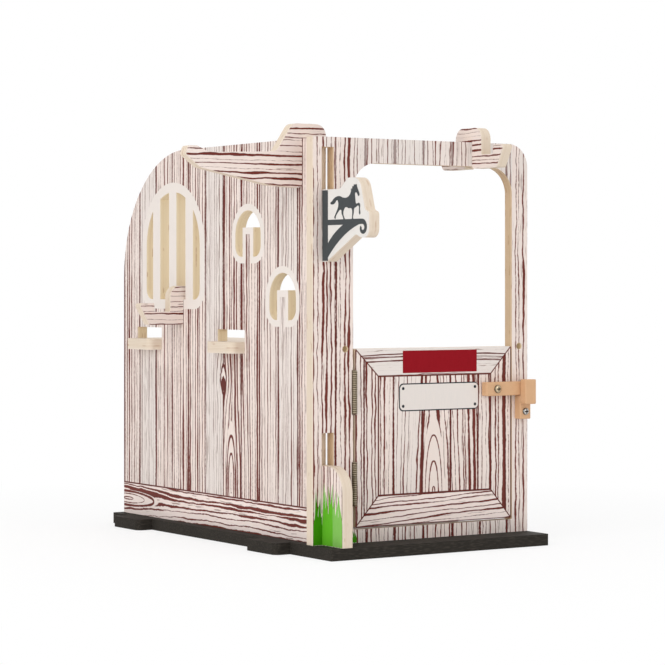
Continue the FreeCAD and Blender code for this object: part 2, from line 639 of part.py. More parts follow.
os.makedirs("parts", exist_ok=True)
save("floor_board", make_floor_board())
save("front_panel", make_front_panel())
save("side_wall", make_side_wall())
save("feed_shelf", make_feed_shelf())
save("half_door", make_half_door())
make_hinges()
save("latch_bar", make_latch_bar())
save("latch_screw", pan_head_screw(PIVOT_X, LATCH_Z, LATCH_FRONT - SEAT_GAP, SCREW_HEAD_RADIUS))
keeper_block, keeper_lip = make_keeper()
save("keeper_block", keeper_block)
save("keeper_lip", keeper_lip)
keeper_x, keeper_z = keeper_screw_place()
save("keeper_screw", pan_head_screw(keeper_x, keeper_z, LIP_BACK, KEEPER_SCREW_HEAD))
make_hanging_pieces()
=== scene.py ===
import json
import math
import random
from collections import namedtuple

import bmesh
import bpy
from mathutils import Matrix, Vector


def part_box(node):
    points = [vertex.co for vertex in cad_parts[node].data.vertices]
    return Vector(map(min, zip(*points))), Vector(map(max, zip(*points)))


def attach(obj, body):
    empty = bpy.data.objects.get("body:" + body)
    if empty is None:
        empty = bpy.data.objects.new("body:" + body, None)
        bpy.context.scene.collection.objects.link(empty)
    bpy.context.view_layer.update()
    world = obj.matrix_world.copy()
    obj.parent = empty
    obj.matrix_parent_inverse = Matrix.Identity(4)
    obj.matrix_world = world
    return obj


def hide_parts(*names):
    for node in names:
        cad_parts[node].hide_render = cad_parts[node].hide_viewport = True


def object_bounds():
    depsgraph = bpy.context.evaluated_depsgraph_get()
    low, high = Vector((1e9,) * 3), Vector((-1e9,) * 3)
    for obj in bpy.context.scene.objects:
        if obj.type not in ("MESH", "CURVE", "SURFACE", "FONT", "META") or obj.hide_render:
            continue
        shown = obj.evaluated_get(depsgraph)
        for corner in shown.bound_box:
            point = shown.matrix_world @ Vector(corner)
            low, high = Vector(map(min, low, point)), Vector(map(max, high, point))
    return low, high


# Toy stable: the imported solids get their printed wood, ply edges, stain and metal, and thin printed pieces
# are laid on the door, the panel, the sign and the grass tab. Lengths are named in millimetres, the
# stage's in metres.
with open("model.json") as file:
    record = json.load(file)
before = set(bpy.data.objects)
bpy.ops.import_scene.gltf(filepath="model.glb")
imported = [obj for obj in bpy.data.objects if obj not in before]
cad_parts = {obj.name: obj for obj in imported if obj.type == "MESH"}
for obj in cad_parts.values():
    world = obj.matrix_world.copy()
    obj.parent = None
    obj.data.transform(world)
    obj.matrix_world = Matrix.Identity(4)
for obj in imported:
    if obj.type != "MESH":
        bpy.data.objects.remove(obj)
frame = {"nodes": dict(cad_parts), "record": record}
cad_low, cad_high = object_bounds()
nodes = frame["nodes"]
MM = 0.001

panel_low, panel_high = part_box("front_panel")
wall_low, wall_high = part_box("side_wall")
door_low, door_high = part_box("half_door")
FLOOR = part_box("floor_board")[1].z

# The wall's two faces: name, place along X in metres and the way it faces
WALL_FACES = (("outer", wall_low.x, -1), ("inner", wall_high.x, 1))

# Printed layout in millimetres: across from the panel's left edge, behind its face, up from the floor
PLY = 12.0
PLY_LAYERS = 7
KICK_HEIGHT = 35.0
KICK_LINE = 0.8
WINDOW_FROM_REAR = 114.0
WINDOW_HEAD = 364.0
WINDOW_RADIUS = 60.0
WINDOW_SILL = 245.0
WINDOW_SILL_ROUND = 12.0
WINDOW_BORDER = 10.5
SHOES = ((144.5, 339.6), (75.4, 273.6))
SHOE_RADIUS = 25.8
SHOE_HEIGHT = 48.8
SHOE_HEEL_ROUND = 12.0
SHOE_BORDER = 7.0
TONGUE_DROP = 18.0
TONGUE_INK_HALF = 5.0
SIGN_LOW = 284.5
SIGN_MARGIN = 1.0
FRAME_LEFT = 28.4
FRAME_RIGHT = 26.5
FRAME_TOP = 28.3
FRAME_BOTTOM = 31.2
FRAME_SOFT = 0.01
MITRE_INK = 0.9
MITRE_SOFT = 0.02
RED_BOARD = (109.2, 203.3, 170.6, 193.6)
RED_ROUND = 0.4
RED_ROUND_STEPS = 2
NAME_PLATE = (105.6, 204.9, 132.6, 158.8)
PLATE_ROUND = 4.5
PLATE_LINE = 1.2
PLATE_LINE_ROUND = 5.0
PLATE_STUD = 1.6
STUD_INSET = 4.0
STUD_LIFT = 1.6
PRINT_LIFT = 0.12
WALL_PLANK = 37.3
PLANK_START = 8.8
DOOR_PLANK = 36.0
DOOR_PLANK_START = 97.0
PANEL_PLANK_START = 27.0
PANEL_EDGE = 1.0
HOLE_MARGIN = 0.5
KNUCKLE_PITCH = 2.2

# Screws and the shelf
SCREW_HEAD = 2.6
SCREW_DOME = 0.86
SCREW_RINGS = 22
SCREW_SIDES = 48
SHANK_SHARE = 0.5
RECESS_HALF = 0.55
RECESS_REACH = 2.2
RECESS_DEPTH = 1.1
RECESS_RISE = 0.5
# How far the dark cross reaches past the recess's sides and ends: painted shade.
RECESS_SIDE_SHADE = 0.15
RECESS_END_SHADE = 0.2
# Where the screw head's rim starts to darken, how softly, and how strongly: painted shade and dark
# reflection.
RIM_SHADE_START = 0.88
RIM_SOFT = 0.8
RIM_SHADE_STRENGTH = 0.85
SHELF_HOLE = 56.0
SHELF_MARGIN = 12.0
SHELF_PLAY = 0.4
SHELF_ROUND = 24.0
SHELF_TAB_ROUND = 8.0
SHELF_BACK_GAP = 0.3

# Softened edges, and how finely curves are drawn
SHEET_EASE = 0.35
BOARD_EASE = 0.6
SHELF_EASE = 0.5
EASE_STEPS = 2
EASE_ANGLE = math.radians(40)
CURVE_STEPS = 8
CIRCLE_PULL = math.sqrt(0.5)
SAME_PLACE = 1e-6


def shade(red, green, blue):
    """A colour written as 0 to 255 display values, turned into linear light."""
    def linear(part):
        part /= 255.0
        return part / 12.92 if part <= 0.04045 else ((part + 0.055) / 1.055) ** 2.4
    return (linear(red), linear(green), linear(blue), 1.0)


WHITE = (1.0, 1.0, 1.0, 1.0)
PAPER = (shade(237, 225, 218), shade(233, 216, 207))
BRIGHT_PAPER = (shade(245, 232, 226), shade(241, 224, 216))
COOL_PAPER = shade(228, 219, 213)
PLAIN_WHITE = shade(231, 222, 215)
SIGN_WHITE = shade(223, 219, 214)
PLATE_WHITE = shade(222, 215, 210)
BOLD_INK = shade(91, 29, 20)
MIDDLE_INK = shade(115, 48, 38)
HAIR_INK = shade(150, 127, 117)
PALE_PLY = (shade(232, 219, 204), shade(218, 201, 180))
# Darker, warmer ply for the panel's inner cut edges: painted shade.
SHADED_PLY = (shade(230, 208, 178), shade(212, 182, 146))
# Lighter ply for the wall's reveals and the panel's peg holes: painted bounce light.
BOUNCE_LIT_PLY = (shade(243, 230, 203), shade(228, 209, 174))
PLY_GLUE = shade(206, 180, 148)
PLY_VOID = shade(178, 132, 92)
STAIN = (shade(36, 33, 29), shade(66, 61, 55))
BEECH = (shade(220, 180, 142), shade(200, 154, 112))
RED = (shade(148, 6, 24), shade(134, 4, 20))
SLATE = (shade(64, 68, 70), shade(74, 78, 79))
GREENS = {"dark": (shade(70, 150, 6), shade(54, 134, 0)),
          "middle": (shade(104, 186, 44), shade(88, 170, 32)),
          "light": (shade(138, 198, 98), shade(122, 184, 80))}
BRONZE = (shade(172, 160, 138), shade(84, 72, 54))
STEEL = (shade(222, 220, 216), shade(150, 146, 140))
BRASS = (shade(232, 216, 186), shade(150, 124, 90))
# Painted shade in the screws' cross recess, and painted shade and dark reflection at their rims.
SCREW_SHADE_AND_REFLECTION = shade(34, 28, 22)
INK_LINE = (shade(34, 39, 44), shade(46, 51, 56))

# How a surface shines: roughness, how far noise adds to it, metal, plain shine, and relief
Finish = namedtuple("Finish", "roughness spread metallic gloss relief")
PRINT_FINISH = Finish(0.5, 0.15, 0.0, 0.25, 0.05)
PLY_FINISH = Finish(0.5, 0.2, 0.0, 0.25, 0.05)
STAIN_FINISH = Finish(0.7, 0.2, 0.0, 0.15, 0.2)
BEECH_FINISH = Finish(0.4, 0.2, 0.0, 0.25, 0.05)
BRONZE_FINISH = Finish(0.4, 0.2, 0.8, 0.5, 0.0)
SCREW_FINISH = Finish(0.15, 0.2, 0.9, 0.5, 0.0)
TINT_FINISH = Finish(0.5, 0.15, 0.0, 0.12, 0.03)

# Noise over a surface: changes per millimetre across and along, what is added to its seed, and its detail
Pattern = namedtuple("Pattern", "across along shift detail")
PAPER_CLOUD = Pattern(0.03, 0.01, 2.0, 2.0)
RAGGED = Pattern(0.5, 0.3, 8.0, 1.0)
WOBBLE = Pattern(0.05, 0.035, 15.0, 1.0)
SHIVER = Pattern(0.2, 0.09, 16.0, 1.0)
INK_TONE = Pattern(0.4, 0.02, 33.0, 1.0)
DRIFT = Pattern(0.03, 0.008, 60.0, 1.0)
RAIL_WAVE = Pattern(0.03, 0.05, 39.0, 1.0)
RAIL_SWELL = Pattern(0.06, 1.0, 40.0, 1.0)
KNOT_RAGGED = Pattern(0.3, 0.25, 44.0, 2.0)
SHEET_FIBRE = Pattern(1.5, 0.4, 8.0, 3.0)
TINT_FIBRE = Pattern(0.5, 0.08, 6.0, 3.0)
SHELF_FIGURE = Pattern(0.25, 0.02, 5.0, 4.0)
STAIN_FIBRE = Pattern(0.12, 0.9, 0.0, 4.0)
STAIN_CLOUD = Pattern(0.03, 0.03, 7.0, 2.0)
PLY_STREAK = Pattern(0.12, 0.12, 0.0, 3.0)
PLY_DARK = Pattern(0.05, 0.05, 0.0, 2.0)
BEECH_FLECK = Pattern(1.6, 0.14, 3.0, 3.0)
BEECH_TONE = Pattern(0.2, 0.03, 9.0, 2.0)
HINGE_PATINA = Pattern(0.6, 0.6, 0.0, 4.0)
SCREW_PATINA = Pattern(1.5, 1.5, 0.0, 4.0)


# Shader maths written as sums: a field is one number over the surface
class Field:
    def __init__(self, page, socket):
        self.page = page
        self.socket = socket

    def __add__(self, other):
        return self.page.math("ADD", self, other)

    def __sub__(self, other):
        return self.page.math("SUBTRACT", self, other)

    def __rsub__(self, other):
        return self.page.math("SUBTRACT", other, self)

    def __mul__(self, other):
        return self.page.math("MULTIPLY", self, other)

    def __truediv__(self, other):
        return self.page.math("DIVIDE", self, other)

    __radd__ = __add__
    __rmul__ = __mul__


class Page:
    """One material in the making, with the surface's point in millimetres and its normal, at rest."""

    def __init__(self, name):
        self.material = bpy.data.materials.new(name)
        self.material.use_nodes = True
        self.tree = self.material.node_tree
        self.shader = self.tree.nodes["Principled BSDF"]
        place = self.tree.nodes.new("ShaderNodeTexCoord")
        point = self.split(place.outputs["Object"])
        self.x, self.y, self.z = [part * (1.0 / MM) for part in point]
        self.normal = self.split(place.outputs["Normal"])

    def split(self, socket):
        node = self.tree.nodes.new("ShaderNodeSeparateXYZ")
        self.tree.links.new(socket, node.inputs[0])
        return [Field(self, output) for output in node.outputs]

    def feed(self, socket, value):
        if isinstance(value, Field):
            self.tree.links.new(value.socket, socket)
        elif isinstance(value, bpy.types.NodeSocket):
            self.tree.links.new(value, socket)
        else:
            socket.default_value = value

    def math(self, operation, *values, clamp=False):
        node = self.tree.nodes.new("ShaderNodeMath")
        node.operation = operation
        node.use_clamp = clamp
        for socket, value in zip(node.inputs, values):
            self.feed(socket, value)
        return Field(self, node.outputs[0])

    def size(self, value):
        return self.math("ABSOLUTE", value)

    def less(self, first, second):
        return self.math("MINIMUM", first, second)

    def more(self, first, second):
        return self.math("MAXIMUM", first, second)

    def length(self, across, up):
        return self.math("SQRT", across * across + up * up)

    def over(self, value, edge, soft=0.3):
        """1 where value is above edge, 0 below it, with a soft step between."""
        return self.math("MULTIPLY_ADD", value - edge, 1.0 / soft, 0.5, clamp=True)

    def under(self, value, edge, soft=0.3):
        return self.over(edge - value, 0.0, soft)

    def noise(self, across, along, seed, detail=1.0):
        join = self.tree.nodes.new("ShaderNodeCombineXYZ")
        for socket, value in zip(join.inputs, (across, along, seed)):
            self.feed(socket, value)
        node = self.tree.nodes.new("ShaderNodeTexNoise")
        node.inputs["Scale"].default_value = 1.0
        node.inputs["Detail"].default_value = detail
        self.tree.links.new(join.outputs[0], node.inputs["Vector"])
        return Field(self, node.outputs[0])

    def pattern(self, across, along, kind, seed=0.0):
        return self.noise(across * kind.across, along * kind.along, seed + kind.shift, kind.detail)

    def solid_pattern(self, kind):
        """Noise through the solid, which changes with height as fast as along."""
        return self.pattern(self.x, self.y, kind, self.z * kind.along)

    def dice(self, value, seed):
        """A random number from 0 to 1 that is the same for the same whole number."""
        node = self.tree.nodes.new("ShaderNodeTexWhiteNoise")
        node.noise_dimensions = "1D"
        self.feed(node.inputs["W"], value + seed)
        return Field(self, node.outputs["Value"])

    def steps(self, value, stops):
        """A number that changes by steps: each stop is where it begins and how much it is."""
        first = stops[0][0]
        span = stops[-1][0] - first + 1.0
        node = self.tree.nodes.new("ShaderNodeValToRGB")
        node.color_ramp.interpolation = "CONSTANT"
        for index, (start, amount) in enumerate(stops):
            place = (start - first) / span
            if index < 2:
                stop = node.color_ramp.elements[index]
                stop.position = place
            else:
                stop = node.color_ramp.elements.new(place)
            stop.color = (amount, amount, amount, 1.0)
        self.feed(node.inputs[0], (value - first) / span)
        return self.split(node.outputs[0])[0]

    def mix(self, amount, first, second):
        node = self.tree.nodes.new("ShaderNodeMix")
        node.data_type = "RGBA"
        self.feed(node.inputs[0], amount)
        self.feed(node.inputs[6], first)
        self.feed(node.inputs[7], second)
        return node.outputs[2]

    def bump(self, height, depth):
        node = self.tree.nodes.new("ShaderNodeBump")
        node.inputs["Strength"].default_value = 1.0
        node.inputs["Distance"].default_value = depth * MM
        self.feed(node.inputs["Height"], height)
        self.tree.links.new(node.outputs[0], self.shader.inputs["Normal"])

    def finish(self, colour, noise, finish):
        self.feed(self.shader.inputs["Base Color"], colour)
        self.feed(self.shader.inputs["Roughness"], noise * finish.spread + finish.roughness)
        self.shader.inputs["Metallic"].default_value = finish.metallic
        self.shader.inputs["Specular IOR Level"].default_value = finish.gloss
        if finish.relief:
            self.bump(noise, finish.relief)
        return self.material


# Printed wood grain: lines are pitch apart and about half thick to each side, in millimetres
Style = namedtuple("Style", "pitch half hair_pitch hair_share wave reach wobble")
WALL_STYLE = Style(5.2, 1.12, 2.6, 0.48, 0.35, 170.0, 1.8)
PANEL_STYLE = Style(5.4, 1.3, 2.9, 0.3, 1.0, 120.0, 3.4)
DOOR_STYLE = Style(5.8, 1.42, 3.1, 0.3, 0.6, 130.0, 3.0)
RAIL_STYLE = Style(4.8, 0.7, 4.2, 0.16, 1.0, 110.0, 2.6)
KICK_STYLE = Style(5.2, 0.95, 5.0, 0.4, 1.3, 120.0, 3.0)
WALL_SEED = 3.0
KICK_SEED = 11.0
PANEL_SEED = 23.0
DOOR_SEED = 31.0
RAIL_SEED = 37.0

# What is added to the grain's seed for each thing that varies by itself
SWELL_SHIFT = 3.0
HAIR_SHIFT = 5.0
DASH_SHIFT = 6.0
WEIGHT_SHIFT = 50.5
RING_SHIFT = 90.0

# How ink lines bend, swell and end; a step is where a change lies and how soft it is
LINE_APART = 5.3
LEAST_INK = 0.1
RAGGED_INK = 0.9
BEND_RATE = 0.45
SWELL_RATE = 1.6
SWELL_DETAIL = 2.0
SWELL_SPREAD = 2.6
SWELL_LOSS = 0.3
HAIR_HALF = 0.42
HAIR_STRENGTH = 0.8
DASH_RATE = 0.8
DASH_LENGTH = 0.2
DASH_EDGE = 0.68
DASH_RANGE = 0.34
DASH_SOFT = 0.08
SHIVER_SHARE = 0.5
DRIFT_RANGE = 0.9
LEAST_LINED = 0.05
THIN_SHARE = 0.2
COOL_STEP = (0.3, 0.4)

# Lining of boards without stops, slope of the door's low rail, and the panel's paler top rail
KICK_LINED = 1.0
RAIL_LINED = 0.85
RAIL_SLOPE = 0.05
PANEL_RAIL = 40.0
PANEL_RAIL_EASED = 0.22
PANEL_JOINT_EASED = 0.35

# The door's top rail: how far each line is under the top edge and its half thickness, then how lines bow
TOP_RAIL_LINES = ((5.8, 0.62), (8.9, 0.42), (12.5, 0.62))
TOP_RAIL_BOW = 0.0002
TOP_RAIL_WAVE = 1.6
TOP_RAIL_LINED = 0.1
TOP_RAIL_SWELL = 1.4
TOP_RAIL_LEAST = 0.3

# Where the printed planks begin, and how strongly each one is lined
WALL_LINED = ((0.0, 0.6), (8.8, 0.75), (46.1, 0.2), (83.4, 0.4), (120.7, 1.0), (138.0, 0.45), (151.0, 1.0),
              (158.0, 0.75), (195.3, 0.12), (232.6, 0.7), (269.9, 0.8), (307.2, 0.5), (344.5, 0.15),
              (381.8, 0.8))
DOOR_LINED = ((48.0, 0.4), (79.0, 0.5), (97.0, 0.25), (133.0, 0.6), (169.0, 1.0), (205.0, 0.4), (221.0, 1.0))
PANEL_LINED = ((0.0, 0.7), (12.0, 0.45), (24.0, 0.8), (38.0, 0.55), (50.0, 0.45), (90.0, 0.25), (140.0, 0.5),
               (190.0, 0.3), (249.0, 0.75), (259.0, 0.45))

# Joints between planks: lines half a pitch after the start, and then every pitch
Joints = namedtuple("Joints", "start pitch half seed")
WALL_JOINTS = Joints(PLANK_START - WALL_PLANK / 2, WALL_PLANK, 1.3, 71.0)
PANEL_JOINTS = Joints(PANEL_PLANK_START - DOOR_PLANK / 2, DOOR_PLANK, 1.5, 73.0)
DOOR_JOINTS = Joints(DOOR_PLANK_START - DOOR_PLANK / 2, DOOR_PLANK, 1.2, 75.0)
JOINT_WAVE = 0.05
JOINT_REACH = 160.0
JOINT_SPREAD = 0.03
JOINT_UNEVEN = 0.4

# An eye or a pointed arch in the grain: nested long ovals about a place
Ring = namedtuple("Ring", "across along half_width half_length pitch")
WALL_RINGS = (Ring(179.0, 50.0, 12.0, 66.0, 3.6),)
KICK_RINGS = (Ring(17.0, 409.0, 9.5, 70.0, 3.3),)
DOOR_RINGS = (Ring(148.0, 42.0, 14.0, 84.0, 4.3),)
RING_INK = 0.8
RING_WAVE = 0.2
RING_REACH = 60.0
RING_SPREAD = 0.2
RING_MIDDLE = 0.05
FLOW_WIDE = 2.2
FLOW_LONG = 1.25
FLOW_PULL = 0.7

# A knot that the grain runs round: an outlined lens with a dark core in its lower part
Knot = namedtuple("Knot", "across along half_width half_length rim core_drop core_length")
WALL_KNOTS = (Knot(195.3, 160.0, 6.8, 19.0, 2.0, 4.5, 8.5),)
KNOT_SWING = 4.0


def ink_lines(page, across, along, pitch, half, wave, reach, seed, spread=0.5, slope=1.0, uneven=1.5):
    """Lines along the grain, pitch apart and about half thick to each side, which wave, swell and end."""
    bend = page.noise(across * (BEND_RATE / pitch), along / reach, seed) - 0.5
    ruler = across / pitch + bend * wave
    line = page.math("FLOOR", ruler)
    place = page.dice(line, seed) * spread + (0.5 - spread / 2)
    weight = page.dice(line, seed + WEIGHT_SHIFT) * uneven + (1.0 - uneven / 2)
    swell = page.noise(line * LINE_APART, along * (SWELL_RATE / reach), seed + SWELL_SHIFT, SWELL_DETAIL)
    swell = swell * SWELL_SPREAD - SWELL_LOSS
    ragged = page.pattern(across, along, RAGGED, seed) - 0.5
    width = (weight * swell + ragged * RAGGED_INK) * half - LEAST_INK
    gap = page.size(ruler - line - place) * pitch / slope
    return page.over(width - gap, 0.0)


def dashes(page, lines, across, along, pitch, length, share, seed):
    """Breaks lines into strokes, which cover more of their length as share grows."""
    keep = page.noise(across * (DASH_RATE / pitch), along / length, seed)
    return lines * page.over(keep, DASH_EDGE - DASH_RANGE * share, DASH_SOFT)


def flow_round(page, across, along, rings):
    """Pulls the grain's ruler apart near a ring or a knot, so that lines run round it."""
    for ring in rings:
        side = across - ring.across
        far_side = side / (FLOW_WIDE * ring.half_width)
        far_up = (along - ring.along) / (FLOW_LONG * ring.half_length)
        near = page.math("EXPONENT", (far_side * far_side + far_up * far_up) * -1.0)
        across = across - side * near * FLOW_PULL
    return across


def ring_lines(page, across, along, ring, seed):
    """Nested ovals, even in thickness all round, and the area that they fill."""
    side = across - ring.across
    up = along - ring.along
    squeeze = ring.half_width / ring.half_length
    reach = page.more(page.length(side, up * squeeze), RING_MIDDLE)
    steepness = page.length(side, up * squeeze * squeeze) / reach
    lines = ink_lines(page, reach, up, ring.pitch, RING_INK, RING_WAVE, RING_REACH, seed,
                      spread=RING_SPREAD, slope=steepness)
    return lines, page.under(reach, ring.half_width)


def grain(page, across, along, style, seed, lined, rings=(), knots=(), paper=PAPER):
    """Grain as if cut in a printing block: strong lines on some planks, hair lines on the pale ones."""
    cloud = page.pattern(across, along, PAPER_CLOUD, seed)
    colour = page.mix(cloud, *paper)
    if isinstance(lined, Field):
        colour = page.mix(page.under(lined, *COOL_STEP), colour, COOL_PAPER)
    wobble = page.pattern(across, along, WOBBLE, seed) * style.wobble
    shiver = page.pattern(across, along, SHIVER, seed) * (SHIVER_SHARE * style.wobble)
    ruler = flow_round(page, across, along, rings + knots) + wobble + shiver
    drift = page.pattern(across, along, DRIFT, seed) - 0.5
    amount = page.more(lined + drift * DRIFT_RANGE, LEAST_LINED)
    hair = ink_lines(page, ruler, along, style.hair_pitch, HAIR_HALF, style.wave, style.reach,
                     seed + HAIR_SHIFT)
    stroke = DASH_LENGTH * style.reach
    hair = dashes(page, hair, across, along, style.hair_pitch, stroke, style.hair_share, seed + DASH_SHIFT)
    half = (amount * (1.0 - THIN_SHARE) + THIN_SHARE) * style.half
    strong = ink_lines(page, ruler, along, style.pitch, half, style.wave, style.reach, seed)
    for ring in rings:
        ovals, inside = ring_lines(page, across, along, ring, seed + RING_SHIFT)
        outside = 1.0 - inside
        strong = strong * outside + ovals * inside
        hair = hair * outside
    colour = page.mix(hair * HAIR_STRENGTH, colour, HAIR_INK)
    tone = page.pattern(ruler, along, INK_TONE, seed)
    return page.mix(strong, colour, page.mix(tone, BOLD_INK, MIDDLE_INK))


def lens(page, side, up, half_width, half_length):
    """1 inside a pointed oval."""
    taper = up / half_length
    return page.under(page.size(side), (1.0 - taper * taper) * half_width)


def knot_print(page, across, along, knot, colour):
    ragged = page.pattern(across, along, KNOT_RAGGED) * KNOT_SWING - KNOT_SWING / 2
    side = across - knot.across + ragged
    up = along - knot.along
    inner_width = knot.half_width - knot.rim
    outer = lens(page, side, up, knot.half_width, knot.half_length)
    inner = lens(page, side, up, inner_width, knot.half_length * inner_width / knot.half_width)
    core = lens(page, side, up + knot.core_drop, inner_width, knot.core_length)
    colour = page.mix(inner, page.mix(outer, colour, BOLD_INK), PAPER[0])
    return page.mix(core, colour, BOLD_INK)


def plank_joints(page, across, along, joints):
    """Bold, nearly straight lines where one printed plank ends and the next begins."""
    return ink_lines(page, across - joints.start, along, joints.pitch, joints.half, JOINT_WAVE, JOINT_REACH,
                     joints.seed, JOINT_SPREAD, uneven=JOINT_UNEVEN)


# Bare ply: layers and streaks on its sawn edges, and where an edge turns into a face
LAYER_SEED = 4.0
LAYER_TONE = 0.6
LAYER_APART = 3.1
STREAK_TONE = 0.5
STREAK_DEPTH_RATE = 2.0
GLUE_STEP = (0.42, 0.1)
GLUE_INK = 0.5
VOID_STEP = (0.67, 0.06)
VOID_INK = 0.4
FACE_STEP = (0.6, 0.2)


def ply_edge(page, depth, tones):
    """The sawn edge of the sheet: thin layers with glue lines, soft streaks and a few darker ones."""
    layer = depth * (PLY_LAYERS / PLY)
    number = page.math("FLOOR", layer)
    inside = layer - number
    odd = page.dice(number, LAYER_SEED)
    along = page.x + page.y
    streak = page.pattern(along, page.z, PLY_STREAK, depth * STREAK_DEPTH_RATE)
    colour = page.mix(odd * LAYER_TONE + streak * STREAK_TONE, *tones)
    glue = page.over(page.size(inside - 0.5), *GLUE_STEP)
    colour = page.mix(glue * GLUE_INK, colour, PLY_GLUE)
    dark = page.pattern(along, page.z, PLY_DARK, number * LAYER_APART)
    return page.mix(page.over(dark, *VOID_STEP) * VOID_INK, colour, PLY_VOID)


def printed_sheet(page, normal, depth, print_colour, tones=PALE_PLY):
    """Print on the two faces of a sheet and bare ply on its sawn edges."""
    face = page.over(page.size(normal), *FACE_STEP)
    colour = page.mix(face, ply_edge(page, depth, tones), print_colour)
    fibre = page.pattern(page.x + page.y, page.z, SHEET_FIBRE)
    return page.finish(colour, fibre, PRINT_FINISH)


def arch_distance(page, sideways, up, head, foot, radius, foot_round):
    """Millimetres outside a round-headed opening with softened lower corners, negative inside."""
    spring = head - radius
    over_spring = page.more(up - spring, 0.0)
    crown = page.length(sideways, over_spring) - radius
    corner_side = page.more(sideways - (radius - foot_round), 0.0)
    corner_down = page.more(foot + foot_round - up, 0.0)
    heel = page.length(corner_side, corner_down) - foot_round
    return page.more(crown, heel)


def wall_print():
    page = Page("wall_print")
    behind = page.y - panel_low.y / MM
    up = page.z - FLOOR / MM
    on_wall_area = page.over(behind, 0.0)
    lined = page.steps(behind, WALL_LINED)
    colour = grain(page, behind, up, WALL_STYLE, WALL_SEED, lined, WALL_RINGS, WALL_KNOTS)
    joints = plank_joints(page, behind, up, WALL_JOINTS) * on_wall_area
    colour = page.mix(joints, colour, BOLD_INK)
    for knot in WALL_KNOTS:
        colour = knot_print(page, behind, up, knot, colour)
    kick = grain(page, up, behind, KICK_STYLE, KICK_SEED, KICK_LINED, KICK_RINGS, paper=BRIGHT_PAPER)
    colour = page.mix(page.under(up, KICK_HEIGHT) * on_wall_area, colour, kick)
    kick_line = page.under(page.size(up - KICK_HEIGHT), KICK_LINE) * on_wall_area
    colour = page.mix(kick_line, colour, BOLD_INK)
    middle = (wall_high.y - panel_low.y) / MM - WINDOW_FROM_REAR
    sideways = page.size(behind - middle)
    window = arch_distance(page, sideways, up, WINDOW_HEAD, WINDOW_SILL, WINDOW_RADIUS, WINDOW_SILL_ROUND)
    plain = page.under(window, WINDOW_BORDER)
    for shoe_behind, crown in SHOES:
        sideways = page.size(behind - shoe_behind)
        foot = crown - SHOE_HEIGHT
        shoe = arch_distance(page, sideways, up, crown, foot, SHOE_RADIUS, SHOE_HEEL_ROUND)
        tongue = page.under(sideways, TONGUE_INK_HALF) * page.under(up, crown - TONGUE_DROP - SHOE_BORDER)
        plain = page.more(plain, page.under(shoe, SHOE_BORDER) * (1.0 - tongue))
    sign = page.under(behind, 0.0) * page.over(up, SIGN_LOW - SIGN_MARGIN)
    colour = page.mix(plain, colour, PLAIN_WHITE)
    colour = page.mix(sign, colour, SIGN_WHITE)
    # Ply edges more than two sheet thicknesses behind the panel's face, round the window and beyond, get a
    # lighter tone: painted bounce light.
    holes = page.over(behind, 2 * PLY)
    tones = [page.mix(holes, pale, light) for pale, light in zip(PALE_PLY, BOUNCE_LIT_PLY)]
    return printed_sheet(page, page.normal[0], page.x - wall_low.x / MM, colour, tones)


def panel_print():
    page = Page("panel_print")
    across = page.x - panel_low.x / MM
    up = page.z - FLOOR / MM
    in_top_rail = page.over(up, (panel_high.z - FLOOR) / MM - PANEL_RAIL, PANEL_RAIL)
    lined = page.steps(across, PANEL_LINED) - in_top_rail * PANEL_RAIL_EASED
    colour = grain(page, across, up, PANEL_STYLE, PANEL_SEED, lined)
    joints = plank_joints(page, across, up, PANEL_JOINTS)
    colour = page.mix(joints * (1.0 - in_top_rail * PANEL_JOINT_EASED), colour, BOLD_INK)
    # All the panel's ply edges but its left end take darker, warmer tones: painted shade on the inner cut
    # edges.
    inside = page.over(across, PANEL_EDGE)
    tones = [page.mix(inside, pale, shaded_tone) for pale, shaded_tone in zip(PALE_PLY, SHADED_PLY)]
    for mount in frame["record"]["mounts"]:
        if mount["kind"] == "bore":
            place = mount["pos_m"]
            reach = page.length(page.x - place[0] / MM, page.z - place[2] / MM)
            # The ply round each peg bore gets a lighter tone: painted bounce light in the hole.
            lit_bore = page.under(reach, mount["dims"]["r_mm"] + HOLE_MARGIN)
            tones = [page.mix(lit_bore, tone, light) for tone, light in zip(tones, BOUNCE_LIT_PLY)]
    return printed_sheet(page, page.normal[1], page.y - panel_low.y / MM, colour, tones)


def rail_lines(page, under_edge, along, off_middle):
    """The few level lines of the door's top rail, which bow and swell a little."""
    wave = page.pattern(along, under_edge, RAIL_WAVE) - 0.5
    depth = under_edge - off_middle * off_middle * TOP_RAIL_BOW + wave * TOP_RAIL_WAVE
    ink = 0.0
    for line_depth, half in TOP_RAIL_LINES:
        swell = page.pattern(along, line_depth, RAIL_SWELL) * TOP_RAIL_SWELL + TOP_RAIL_LEAST
        ink = page.more(ink, page.over(swell * half - page.size(depth - line_depth), 0.0))
    return ink


